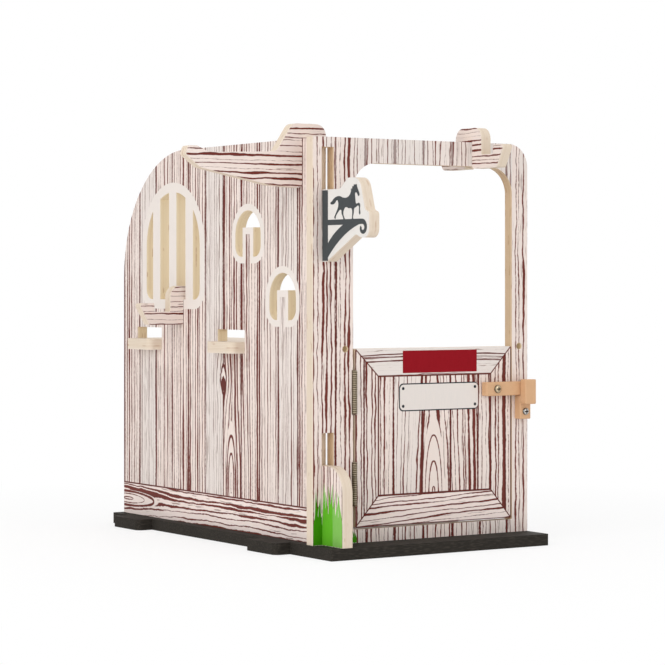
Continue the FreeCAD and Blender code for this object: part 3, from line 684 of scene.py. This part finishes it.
def door_print():
    page = Page("door_print")
    across = page.x - panel_low.x / MM
    up = page.z - FLOOR / MM
    from_left = page.x - door_low.x / MM
    from_right = door_high.x / MM - page.x
    from_low = page.z - door_low.z / MM
    from_top = door_high.z / MM - page.z
    stile = page.less(from_left / FRAME_LEFT, from_right / FRAME_RIGHT)
    low_rail = from_low / FRAME_BOTTOM
    rail = page.less(low_rail, from_top / FRAME_TOP)
    nearest = page.less(stile, rail)
    in_frame = page.under(nearest, 1.0, FRAME_SOFT)
    in_rail = page.under(rail, stile, FRAME_SOFT) * in_frame
    upright = grain(page, across, up, DOOR_STYLE, DOOR_SEED, page.steps(across, DOOR_LINED), DOOR_RINGS)
    upright = page.mix(plank_joints(page, across, up, DOOR_JOINTS), upright, BOLD_INK)
    high_half = page.over(from_low, (door_high.z - door_low.z) / MM / 2)
    tilt = (1.0 - high_half) * RAIL_SLOPE
    lined = high_half * (TOP_RAIL_LINED - RAIL_LINED) + RAIL_LINED
    level = grain(page, up - across * tilt, across, RAIL_STYLE, RAIL_SEED, lined, paper=BRIGHT_PAPER)
    top_ink = rail_lines(page, from_top, across, (from_left - from_right) * 0.5)
    level = page.mix(top_ink, level, BOLD_INK)
    colour = page.mix(in_rail, upright, level)
    thin = MITRE_INK / FRAME_LEFT
    mitre = page.under(page.size(stile - rail), thin, MITRE_SOFT) * in_frame
    border = page.under(page.size(nearest - 1.0), thin, MITRE_SOFT)
    # A dark line along the door's left, right and bottom edges, but not its top: partly the print's border,
    # partly painted shade of the gaps beside and under the door.
    low_sides = page.less(stile, low_rail)
    rim = page.under(low_sides, thin, MITRE_SOFT)
    outline = page.more(page.more(mitre, border), rim)
    colour = page.mix(outline, colour, BOLD_INK)
    return printed_sheet(page, page.normal[1], page.y - door_low.y / MM, colour)


def hook_print(name, node, flat_axis):
    """Grain along the length of a hanging piece."""
    page = Page(name)
    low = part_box(node)[0]
    length = page.y if flat_axis == 0 else page.x
    colour = grain(page, page.z, length, RAIL_STYLE, low.x / MM, RAIL_LINED)
    depth = page.x - low.x / MM if flat_axis == 0 else page.y - low.y / MM
    return printed_sheet(page, page.normal[flat_axis], depth, colour)


# Plain materials: where their tones change, and by how much
WORN_STEP = (0.56, 0.16)
WORN_TONE = 0.6
CLOUD_TONE = 0.3
FLECK_TONE = 0.55
BEECH_CLOUD_TONE = 0.35
# The hinge's grooves are painted darker: painted shade between the rings.
GROOVE_STEP = (0.45, 0.4)
GROOVE_SHADE = 0.7
PATINA_TONE = 0.5
GROOVE_FLAT = 0.7
GROOVE_RELIEF = -0.3


def bare_ply():
    page = Page("bare_ply")
    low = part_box("feed_shelf")[0]
    figure = page.pattern(page.x, page.y, SHELF_FIGURE)
    top = page.mix(figure, *PALE_PLY)
    flat = page.over(page.size(page.normal[2]), *FACE_STEP)
    colour = page.mix(flat, ply_edge(page, page.z - low.z / MM, PALE_PLY), top)
    return page.finish(colour, figure, PLY_FINISH)


def black_stain():
    page = Page("black_stain")
    fibre = page.solid_pattern(STAIN_FIBRE)
    cloud = page.pattern(page.x, page.y, STAIN_CLOUD)
    worn = page.over(fibre, *WORN_STEP) * WORN_TONE
    colour = page.mix(worn + cloud * CLOUD_TONE, *STAIN)
    return page.finish(colour, fibre, STAIN_FINISH)


def beech(name, across, along):
    """Oiled beech: short flecks along the grain over a slow change of tone."""
    page = Page(name)
    parts = {"x": page.x, "y": page.y, "z": page.z}
    fleck = page.pattern(parts[across], parts[along], BEECH_FLECK)
    tone = page.pattern(parts[across], parts[along], BEECH_TONE)
    colour = page.mix(fleck * FLECK_TONE + tone * BEECH_CLOUD_TONE, *BEECH)
    return page.finish(colour, fleck, BEECH_FINISH)


def knuckle_metal():
    """Aged hinge knuckles, closely ringed along the pin, with painted shade in the grooves between the
    rings.
    """
    page = Page("hinge_bronze")
    ring = page.z / KNUCKLE_PITCH
    ring = page.size(ring - page.math("FLOOR", ring) - 0.5) * 2.0
    patina = page.solid_pattern(HINGE_PATINA)
    # Painted shade in the grooves between the rings.
    groove_shade = page.over(ring, *GROOVE_STEP)
    tint = page.mix(groove_shade * GROOVE_SHADE + patina * PATINA_TONE, *BRONZE)
    page.bump(page.less(ring, GROOVE_FLAT), GROOVE_RELIEF)
    return page.finish(tint, patina, BRONZE_FINISH)


def cross_screw(name, node, tones):
    """Bright screw metal, with painted shade down in the cross recess and painted shade and dark reflection
    along the rim.
    """
    page = Page(name)
    low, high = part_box(node)
    across = page.size(page.x - (low.x + high.x) / 2 / MM)
    up = page.size(page.z - (low.z + high.z) / 2 / MM)
    # Painted shade down in the cross recess, drawn a little wider and longer than the sunk cross.
    narrow = page.under(page.less(across, up), RECESS_HALF + RECESS_SIDE_SHADE)
    cross = narrow * page.under(page.more(across, up), RECESS_REACH + RECESS_END_SHADE)
    patina = page.solid_pattern(SCREW_PATINA)
    # Painted shade and dark reflection darken the head towards its rim.
    rim_shade = page.over(page.length(across, up), RIM_SHADE_START * (high.x - low.x) / 2 / MM, RIM_SOFT)
    tint = page.mix(page.more(cross, rim_shade * RIM_SHADE_STRENGTH), page.mix(patina, *tones), SCREW_SHADE_AND_REFLECTION)
    return page.finish(tint, patina, SCREW_FINISH)


def printed_tint(name, tones):
    """A printed flat tint: ink over wood fibre, so the tone breathes a little along the grain."""
    page = Page(name)
    fibre = page.pattern(page.x + page.y, page.z, TINT_FIBRE)
    tint = page.mix(fibre, *tones)
    return page.finish(tint, fibre, TINT_FINISH)


def soften(target, ease):
    bevel = target.modifiers.new("softened_edges", "BEVEL")
    bevel.width = ease * MM
    bevel.segments = EASE_STEPS
    bevel.limit_method = "ANGLE"
    bevel.angle_limit = EASE_ANGLE
    bevel.harden_normals = True


def dress(node, material, ease=0.0):
    """Gives a solid its material and, where asked, slightly softened edges."""
    target = nodes[node]
    target.data.materials.clear()
    target.data.materials.append(material)
    if ease:
        soften(target, ease)


# Thin printed pieces, screws and the shelf
def new_object(name, data):
    item = bpy.data.objects.new(name, data)
    bpy.context.scene.collection.objects.link(item)
    return item


def write_mesh(build, mesh):
    """Turns all faces outwards and hands them to the mesh."""
    bmesh.ops.recalc_face_normals(build, faces=build.faces)
    build.to_mesh(mesh)
    build.free()


def add_piece(name, mesh, material, body):
    mesh.materials.append(material)
    piece = new_object(name, mesh)
    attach(piece, body)
    return piece


def curve_mesh(name, outlines, thick, smooth):
    """Closed outlines in a plane, filled, with holes where one lies in another, as a thin mesh."""
    curve = bpy.data.curves.new(name, "CURVE")
    curve.dimensions = "2D"
    curve.fill_mode = "BOTH"
    curve.extrude = thick / 2
    curve.resolution_u = CURVE_STEPS
    handle = "AUTO" if smooth else "VECTOR"
    for points in outlines:
        spline = curve.splines.new("BEZIER")
        spline.bezier_points.add(len(points) - 1)
        for knot, point in zip(spline.bezier_points, points):
            knot.co = (point[0], point[1], 0.0)
            knot.handle_left_type = handle
            knot.handle_right_type = handle
        spline.use_cyclic_u = True
    shape = new_object(name, curve)
    bpy.context.view_layer.update()
    mesh = bpy.data.meshes.new_from_object(shape)
    bpy.data.objects.remove(shape)
    bpy.data.curves.remove(curve)
    mesh.name = name
    build = bmesh.new()
    build.from_mesh(mesh)
    bmesh.ops.remove_doubles(build, verts=build.verts, dist=SAME_PLACE)
    write_mesh(build, mesh)
    return mesh


def on_front(mesh, y):
    """Stands a flat mesh up on a face that looks towards -Y."""
    mesh.transform(Matrix(((1, 0, 0, 0), (0, 0, -1, y), (0, 1, 0, 0), (0, 0, 0, 1))))
    return mesh


def on_wall(mesh, x):
    """Stands a flat mesh, drawn as (Y, Z), on a face square to X."""
    mesh.transform(Matrix(((0, 0, 1, x), (1, 0, 0, 0), (0, 1, 0, 0), (0, 0, 0, 1))))
    return mesh


def rounded_box(left, right, low, high, radius, steps=6):
    points = []
    corners = ((right, high, 0), (left, high, 90), (left, low, 180), (right, low, 270))
    for x, z, turn in corners:
        middle_x = x - radius if x == right else x + radius
        middle_z = z - radius if z == high else z + radius
        for step in range(steps + 1):
            angle = math.radians(turn + 90 * step / steps)
            points.append((middle_x + radius * math.cos(angle), middle_z + radius * math.sin(angle)))
    return points


def bow(start, control, end, steps=12, pull=1.0):
    """Points on a simple curve that leaves start towards control and arrives at end from it."""
    points = []
    for step in range(steps + 1):
        share = step / steps
        weight = pull * 2 * share * (1 - share)
        early = (1 - share) ** 2
        late = share ** 2
        total = early + weight + late
        spot = (Vector(start) * early + Vector(control) * weight + Vector(end) * late) / total
        points.append(tuple(spot))
    return points


def rounded_outline(corners, steps=8):
    """A closed outline of (x, y, radius) corners, each rounded by its own radius."""
    points = []
    count = len(corners)
    for index, (x, y, radius) in enumerate(corners):
        here = Vector((x, y))
        before = (Vector(corners[index - 1][:2]) - here).normalized()
        after = (Vector(corners[(index + 1) % count][:2]) - here).normalized()
        if not radius:
            points.append((x, y))
            continue
        start = here + before * radius
        end = here + after * radius
        points += bow(start, here, end, steps, CIRCLE_PULL)
    return points


def to_panel(points):
    """Layout millimetres on the panel's face to metres."""
    return [(panel_low.x + x * MM, FLOOR + z * MM) for x, z in points]


def to_wall(points):
    """Layout millimetres on the wall's face, counted forward of the panel's face, to metres."""
    return [(panel_low.y - y * MM, FLOOR + z * MM) for y, z in points]


def disc(x, z, radius, steps=16):
    turns = [math.tau * step / steps for step in range(steps)]
    return [(x + radius * math.cos(turn), z + radius * math.sin(turn)) for turn in turns]


def print_on_door(name, outlines, material, lift=0.5):
    """A thin plate on the door's face, its middle lifted by a share of its own thickness."""
    thick = PRINT_LIFT * MM
    mesh = curve_mesh(name, [to_panel(points) for points in outlines], thick, False)
    add_piece(name, on_front(mesh, door_low.y - lift * thick), material, "door")


def make_door_boards():
    red = printed_tint("red_board_print", RED)
    line = printed_tint("plate_line_print", INK_LINE)
    white = printed_tint("plate_print", (PLATE_WHITE, PLAIN_WHITE))
    left, right, low, high = NAME_PLATE
    rim = rounded_box(left - PLATE_LINE, right, low - PLATE_LINE, high + PLATE_LINE, PLATE_LINE_ROUND)
    plate = rounded_box(left, right, low, high, PLATE_ROUND)
    columns = (left + STUD_INSET, right - STUD_INSET)
    rows = (low + STUD_INSET, high - STUD_INSET)
    dots = [disc(x, z, PLATE_STUD) for x in columns for z in rows]
    print_on_door("red_board", [rounded_box(*RED_BOARD, RED_ROUND, RED_ROUND_STEPS)], red)
    print_on_door("name_plate_line", [rim, plate], line)
    print_on_door("name_plate", [plate], white)
    print_on_door("name_plate_studs", dots, line, STUD_LIFT)


def head_depth(across, up, radius):
    """How far a place on a screw's head lies behind its crown: a dome with a cross sunk in it."""
    share = math.hypot(across, up) / radius
    depth = SCREW_HEAD * MM * (1 - math.sqrt(max(0.0, 1 - SCREW_DOME * share * share)))
    narrow = min(abs(across), abs(up)) / MM
    wide = max(abs(across), abs(up)) / MM
    if narrow < RECESS_HALF and wide < RECESS_REACH:
        depth += RECESS_DEPTH * MM * (1 - RECESS_RISE * wide / RECESS_REACH)
    return depth


def make_screw(node, body, material):
    """A domed head with a sunk cross on a plain shank, in the place of the simple solid."""
    low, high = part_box(node)
    radius = (high.x - low.x) / 2
    middle = (low + high) / 2
    head = SCREW_HEAD * MM
    rows = [(radius * (ring / SCREW_RINGS), None) for ring in range(1, SCREW_RINGS + 1)]
    rows += [(radius, head), (SHANK_SHARE * radius, head), (SHANK_SHARE * radius, high.y - low.y)]
    build = bmesh.new()
    crown = build.verts.new((middle.x, low.y + RECESS_DEPTH * MM, middle.z))
    previous = None
    for reach, row_depth in rows:
        circle = []
        for side in range(SCREW_SIDES):
            turn = math.tau * side / SCREW_SIDES
            across = reach * math.cos(turn)
            up = reach * math.sin(turn)
            depth = head_depth(across, up, radius) if row_depth is None else row_depth
            circle.append(build.verts.new((middle.x + across, low.y + depth, middle.z + up)))
        for side in range(SCREW_SIDES):
            after = (side + 1) % SCREW_SIDES
            if previous:
                build.faces.new((previous[side], previous[after], circle[after], circle[side]))
            else:
                build.faces.new((crown, circle[after], circle[side]))
        previous = circle
    build.faces.new(previous)
    mesh = bpy.data.meshes.new(node + "_cross_head")
    write_mesh(build, mesh)
    for face in mesh.polygons:
        face.use_smooth = True
    piece = add_piece(node + "_cross_head", mesh, material, body)
    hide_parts(node)


def make_shelf(material):
    """The feed board with well rounded tabs, as one sheet with softened edges."""
    low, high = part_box("feed_shelf")
    back = wall_high.x / MM + SHELF_BACK_GAP
    out, inner = low.x / MM, high.x / MM
    near, far = low.y / MM, high.y / MM
    outline = [(inner, near, SHELF_ROUND), (inner, far, SHELF_ROUND), (back, far, 0.0)]
    length = SHELF_HOLE - 2 * SHELF_PLAY
    for end in (far - SHELF_MARGIN - SHELF_PLAY, near + SHELF_MARGIN + SHELF_PLAY + length):
        outline += [(back, end, 0.0), (out, end, SHELF_TAB_ROUND)]
        outline += [(out, end - length, SHELF_TAB_ROUND), (back, end - length, 0.0)]
    outline.append((back, near, 0.0))
    points = [(x * MM, y * MM) for x, y in rounded_outline(outline)]
    mesh = curve_mesh("feed_board", [points], high.z - low.z, False)
    mesh.transform(Matrix.Translation((0, 0, (low.z + high.z) / 2)))
    piece = add_piece("feed_board", mesh, material, "stable")
    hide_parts("feed_shelf")
    soften(piece, SHELF_EASE)


# The sign: places are forward of the panel's face and up from the floor, turns are in degrees
SIGN_POST = (0.2, 10.4, SIGN_LOW + 0.6, 355.8)
BRACE_UNDER = ((10.3, 288.5), (36.0, 313.0), (68.0, 321.0))
BRACE_OVER = ((38.5, 321.0), (21.0, 313.5), (10.3, 302.5))
BAR_LINE = ((10.0, 323.4), (66.0, 323.4))
BAR_WIDTH = 5.4
CURL_MIDDLE = (72.4, 317.0)
CURL_STEPS = 28
CURL_START = 90
CURL_TURN = 300
CURL_RADIUS = 6.4
CURL_SHRINK = 4.0
CURL_STRETCH = 1.06
CURL_WIDTH = 5.2
CURL_THINNING = 2.4
LAYER_START = 0.5
LAYER_STEP = 0.2

# The horse on the sign, trotting: from its ear round the head, under the belly and back along its topline
HORSE = [
    (46.6, 34.6), (48.2, 31.8), (50.4, 28.0), (52.2, 25.0), (51.8, 23.2), (50.0, 22.8), (48.6, 24.6),
    (46.2, 26.4), (44.6, 25.6), (44.6, 22.0), (45.2, 18.4), (46.4, 15.6), (51.4, 16.0), (53.2, 14.4),
    (53.0, 9.4), (53.8, 6.6), (53.2, 4.6), (51.6, 5.2), (51.4, 9.0), (50.6, 13.0), (45.6, 11.8),
    (43.0, 10.8), (42.0, 6.0), (40.6, 1.8), (41.6, 0.0), (38.8, 0.0), (39.0, 2.0), (39.4, 6.0),
    (38.2, 10.6), (33.0, 11.2), (28.4, 12.4), (26.2, 11.6), (23.4, 6.6), (25.4, 1.8), (26.8, 0.0),
    (24.0, 0.0), (23.2, 1.8), (20.4, 6.4), (19.6, 9.6), (17.4, 9.8), (13.4, 7.2), (9.8, 3.4),
    (9.2, 1.4), (7.2, 2.6), (8.6, 5.0), (11.8, 9.4), (14.2, 13.6), (14.0, 18.0), (12.6, 19.6),
    (7.4, 16.4), (3.4, 15.6), (0.2, 16.8), (3.0, 19.0), (7.6, 22.0), (12.4, 23.4), (16.8, 23.6),
    (23.0, 22.0), (29.0, 21.8), (33.6, 23.4), (37.0, 27.4), (37.4, 30.2), (39.4, 30.6), (39.6, 32.6),
    (41.8, 32.6), (42.4, 34.4), (44.6, 34.0)]
HORSE_TAIL = 15.0
HORSE_GROUND = 325.6


def ribbon(points, widths):
    """A band of changing width along a smooth line, as one closed outline."""
    left = []
    right = []
    for index, (x, z) in enumerate(points):
        before = Vector(points[max(index - 1, 0)])
        after = Vector(points[min(index + 1, len(points) - 1)])
        heading = (after - before).normalized()
        reach = Vector((-heading.y, heading.x)) * widths[index] / 2
        left.append((x + reach.x, z + reach.y))
        right.append((x - reach.x, z - reach.y))
    return left + right[::-1]


def scroll_line():
    """The bar and its end, a curl that turns down and back on itself."""
    points = list(BAR_LINE)
    widths = [BAR_WIDTH, BAR_WIDTH]
    for step in range(CURL_STEPS + 1):
        share = step / CURL_STEPS
        angle = math.radians(CURL_START - CURL_TURN * share)
        radius = CURL_RADIUS - CURL_SHRINK * share
        forward = CURL_MIDDLE[0] + CURL_STRETCH * radius * math.cos(angle)
        points.append((forward, CURL_MIDDLE[1] + radius * math.sin(angle)))
        widths.append(CURL_WIDTH - CURL_THINNING * share)
    return points, widths


def make_sign():
    lift = PRINT_LIFT * MM
    slate = printed_tint("sign_print", SLATE)
    near, far, low, high = SIGN_POST
    post = [(near, low), (far, low), (far, high), (near, high)]
    bar = ribbon(*scroll_line())
    brace = bow(*BRACE_UNDER) + bow(*BRACE_OVER)
    horse = [(HORSE_TAIL + x, HORSE_GROUND + z) for x, z in HORSE]
    shapes = (("post", post, False), ("bar", bar, False), ("brace", brace, False), ("horse", horse, True))
    for side, face, step in WALL_FACES:
        for layer, (name, outline, smooth) in enumerate(shapes):
            full_name = "sign_" + name + "_" + side
            mesh = curve_mesh(full_name, [to_wall(outline)], lift, smooth)
            place = face + step * lift * (LAYER_START + LAYER_STEP * layer)
            add_piece(full_name, on_wall(mesh, place), slate, "stable")


# Printed grass: a solid foot with curved blades
Tuft = namedtuple("Tuft", "name start end foot tip blades width seed lift")
CORNER_TUFT = Tuft("corner_grass", 0.3, 10.9, 20.0, 55.0, 5, 5.0, 5, 0.06)
BESIDE_TUFT = Tuft("beside_grass", 28.0, 47.0, 3.0, 18.0, 9, 3.4, 6, 0.06)
SILL_TUFT = Tuft("sill_grass", 47.3, 52.3, 5.5, 13.0, 4, 2.2, 8, 0.06)
NEAR_TUFT = Tuft("near_grass", 0.1, 19.0, 24.0, 63.0, 8, 6.0, 21, 0.1)
FAR_TUFT = Tuft("far_grass", 18.0, 36.2, 24.0, 59.0, 7, 5.4, 12, 0.04)
BLADE_STEPS = 7
BLADE_LEAN = 5.0
BLADE_TAPER = 0.85
BLADE_HEIGHTS = (0.6, 1.0, 0.45, 0.85, 0.3, 0.95)
BLADE_TALLNESS = (0.9, 1.0)
BLADE_WIDENESS = (0.8, 1.1)
BLADE_PLACE = (0.3, 0.7)
BLADE_ROOT = 1.0
GRASS_GAP = 0.3
HAIR_LAYER = 0.004


def blade(foot, width, root, tip, lean):
    """One curved blade that tapers from its root, as a closed outline."""
    left = []
    right = []
    for step in range(BLADE_STEPS):
        share = step / BLADE_STEPS
        middle = foot + lean * share * share
        half = width / 2 * (1 - share) ** BLADE_TAPER
        height = root + (tip - root) * share
        left.append((middle - half, height))
        right.append((middle + half, height))
    return left + [(foot + lean, tip)] + right[::-1]


def add_plate(build, points, thick):
    """A closed thin plate over an outline in millimetres."""
    under = [build.verts.new((x * MM, z * MM, 0.0)) for x, z in points]
    over = [build.verts.new((x * MM, z * MM, thick * MM)) for x, z in points]
    build.faces.new(over)
    build.faces.new(under[::-1])
    for index in range(len(points)):
        build.faces.new((under[index - 1], under[index], over[index], over[index - 1]))


def grass_mesh(tuft):
    """Blades and their foot between two places along a face, as thin plates, each a hair thicker."""
    chance = random.Random(tuft.seed)
    outlines = [[(tuft.start, GRASS_GAP), (tuft.end, GRASS_GAP),
                 (tuft.end, tuft.foot), (tuft.start, tuft.foot)]]
    span = tuft.end - tuft.start
    for index in range(tuft.blades):
        place = tuft.start + span * (index + chance.uniform(*BLADE_PLACE)) / tuft.blades
        height = BLADE_HEIGHTS[index % len(BLADE_HEIGHTS)] * chance.uniform(*BLADE_TALLNESS)
        tip = tuft.foot + (tuft.tip - tuft.foot) * height
        width = tuft.width * chance.uniform(*BLADE_WIDENESS)
        lean = chance.uniform(-BLADE_LEAN, BLADE_LEAN)
        foot = min(max(place, tuft.start + width / 2), tuft.end - width / 2)
        lean = min(max(lean, tuft.start - foot), tuft.end - foot)
        outlines.append(blade(foot, width, tuft.foot - BLADE_ROOT, tip, lean))
    mesh = bpy.data.meshes.new(tuft.name)
    build = bmesh.new()
    for layer, points in enumerate(outlines):
        add_plate(build, points, tuft.lift + layer * HAIR_LAYER)
    write_mesh(build, mesh)
    return mesh


def make_grass():
    tints = {name: printed_tint(name + "_grass_print", pair) for name, pair in GREENS.items()}
    for tuft in (CORNER_TUFT, BESIDE_TUFT, SILL_TUFT):
        mesh = grass_mesh(tuft)
        mesh.transform(Matrix.Translation((panel_low.x, FLOOR, 0.0)))
        add_piece(tuft.name, on_front(mesh, panel_low.y), tints["dark"], "stable")
    for side, face, step in WALL_FACES:
        for tuft, tint in ((NEAR_TUFT, "middle"), (FAR_TUFT, "light")):
            mesh = grass_mesh(tuft)
            turned = Matrix.Translation((panel_low.y, FLOOR, 0.0)) @ Matrix.Diagonal((-1, 1, step, 1))
            mesh.transform(turned)
            if turned.determinant() < 0:
                mesh.flip_normals()
            add_piece(tuft.name + "_" + side, on_wall(mesh, face), tints[tint], "stable")


dress("floor_board", black_stain(), BOARD_EASE)
make_shelf(bare_ply())
sheets = {"front_panel": panel_print(), "side_wall": wall_print(), "half_door": door_print(),
          "saddle_rack": hook_print("rack_print", "saddle_rack", 1),
          "front_hook": hook_print("front_hook_print", "front_hook", 0),
          "window_hook": hook_print("window_hook_print", "window_hook", 1)}
for node, material in sheets.items():
    dress(node, material, SHEET_EASE)
dress("latch_bar", beech("latch_beech", "z", "x"))
keeper_wood = beech("keeper_beech", "x", "z")
for node in ("keeper_block", "keeper_lip"):
    dress(node, keeper_wood)
bronze = knuckle_metal()
for node in nodes:
    if "hinge" in node or "leaf_screws" in node:
        dress(node, bronze)
make_screw("latch_screw", "latch", cross_screw("latch_screw_brass", "latch_screw", BRASS))
make_screw("keeper_screw", "stable", cross_screw("keeper_screw_steel", "keeper_screw", STEEL))
make_door_boards()
make_sign()
make_grass()


# Stage, light and camera: the floor has a faint shadow near the object and turns plain white further out
FLOOR_GLOW = 0.62
FLOOR_FADE = 0.5
GROUND_REACH = 12.0
GROUND_DROP = 0.0002
WORLD_FILL = 0.5
CAMERA_PLACE = (-1.4264, -2.2111, 0.274)
CAMERA_TURN = (math.radians(90), 0.0, math.radians(-33.1))
CAMERA_SENSOR = 36.0
CAMERA_LENS = 129.7
CAMERA_SHIFT = -0.0729
CAMERA_FAR = 50.0

# Lamps: name, place, aim, width and power
LAMPS = (("key", (-2.4, -1.0, 0.9), (0.0, 0.0, 0.1), 1.8, 27.5),
         ("front", (0.5, -2.3, 0.8), (0.0, 0.0, 0.08), 1.8, 10.0),
         ("top", (-0.3, -0.4, 2.2), (-0.1, -0.1, 0.2), 2.0, 15.0),
         ("rear", (1.7, 2.1, 1.0), (0.0, 0.0, 0.15), 1.8, 14.0))


def add_light(name, place, aim, size, power):
    lamp = bpy.data.lights.new(name, "AREA")
    lamp.size = size
    lamp.energy = power
    light = new_object(name, lamp)
    light.location = place
    light.rotation_euler = (Vector(aim) - Vector(place)).to_track_quat("-Z", "Y").to_euler()


def seen_rays(tree):
    """1 for rays that show a background: from the camera, a mirror or glass."""
    path = tree.nodes.new("ShaderNodeLightPath")
    total = path.outputs["Is Camera Ray"]
    for name in ("Is Glossy Ray", "Is Transmission Ray"):
        larger = tree.nodes.new("ShaderNodeMath")
        larger.operation = "MAXIMUM"
        tree.links.new(total, larger.inputs[0])
        tree.links.new(path.outputs[name], larger.inputs[1])
        total = larger.outputs[0]
    return total


def blend(tree, amount, first, second, end):
    """Shows the first shader where amount is 0 and the second where it is 1."""
    choose = tree.nodes.new("ShaderNodeMixShader")
    tree.links.new(amount, choose.inputs[0])
    tree.links.new(first.outputs[0], choose.inputs[1])
    tree.links.new(second.outputs[0], choose.inputs[2])
    tree.links.new(choose.outputs[0], tree.nodes[end].inputs[0])


def make_world():
    world = bpy.data.worlds.new("studio")
    bpy.context.scene.world = world
    world.use_nodes = True
    tree = world.node_tree
    fill = tree.nodes["Background"]
    fill.inputs["Color"].default_value = WHITE
    fill.inputs["Strength"].default_value = WORLD_FILL
    white = tree.nodes.new("ShaderNodeBackground")
    white.inputs["Color"].default_value = WHITE
    blend(tree, seen_rays(tree), fill, white, "World Output")


def make_ground():
    mesh = bpy.data.meshes.new("ground")
    corners = [(-1, -1), (1, -1), (1, 1), (-1, 1)]
    mesh.from_pydata([(x * GROUND_REACH, y * GROUND_REACH, 0) for x, y in corners], [], [(0, 1, 2, 3)])
    ground = new_object("ground", mesh)
    ground.location.z = cad_low.z - GROUND_DROP
    page = Page("ground_white")
    page.shader.inputs["Base Color"].default_value = WHITE
    page.shader.inputs["Roughness"].default_value = 1.0
    page.shader.inputs["Specular IOR Level"].default_value = 0.0
    far = page.length(page.x, page.y) * MM
    share = page.math("MULTIPLY_ADD", far, FLOOR_FADE, FLOOR_GLOW, clamp=True)
    tree = page.tree
    glow = tree.nodes.new("ShaderNodeEmission")
    amount = share * Field(page, seen_rays(tree))
    blend(tree, amount.socket, page.shader, glow, "Material Output")
    mesh.materials.append(page.material)


def make_camera():
    camera = bpy.data.cameras.new("camera")
    camera.sensor_width = CAMERA_SENSOR
    camera.lens = CAMERA_LENS
    camera.shift_y = CAMERA_SHIFT
    camera.clip_end = CAMERA_FAR
    viewer = new_object("camera", camera)
    viewer.location = CAMERA_PLACE
    viewer.rotation_euler = CAMERA_TURN
    bpy.context.scene.camera = viewer


make_world()
make_ground()
make_camera()
for lamp in LAMPS:
    add_light(*lamp)
bpy.context.scene.view_settings.view_transform = "Standard"
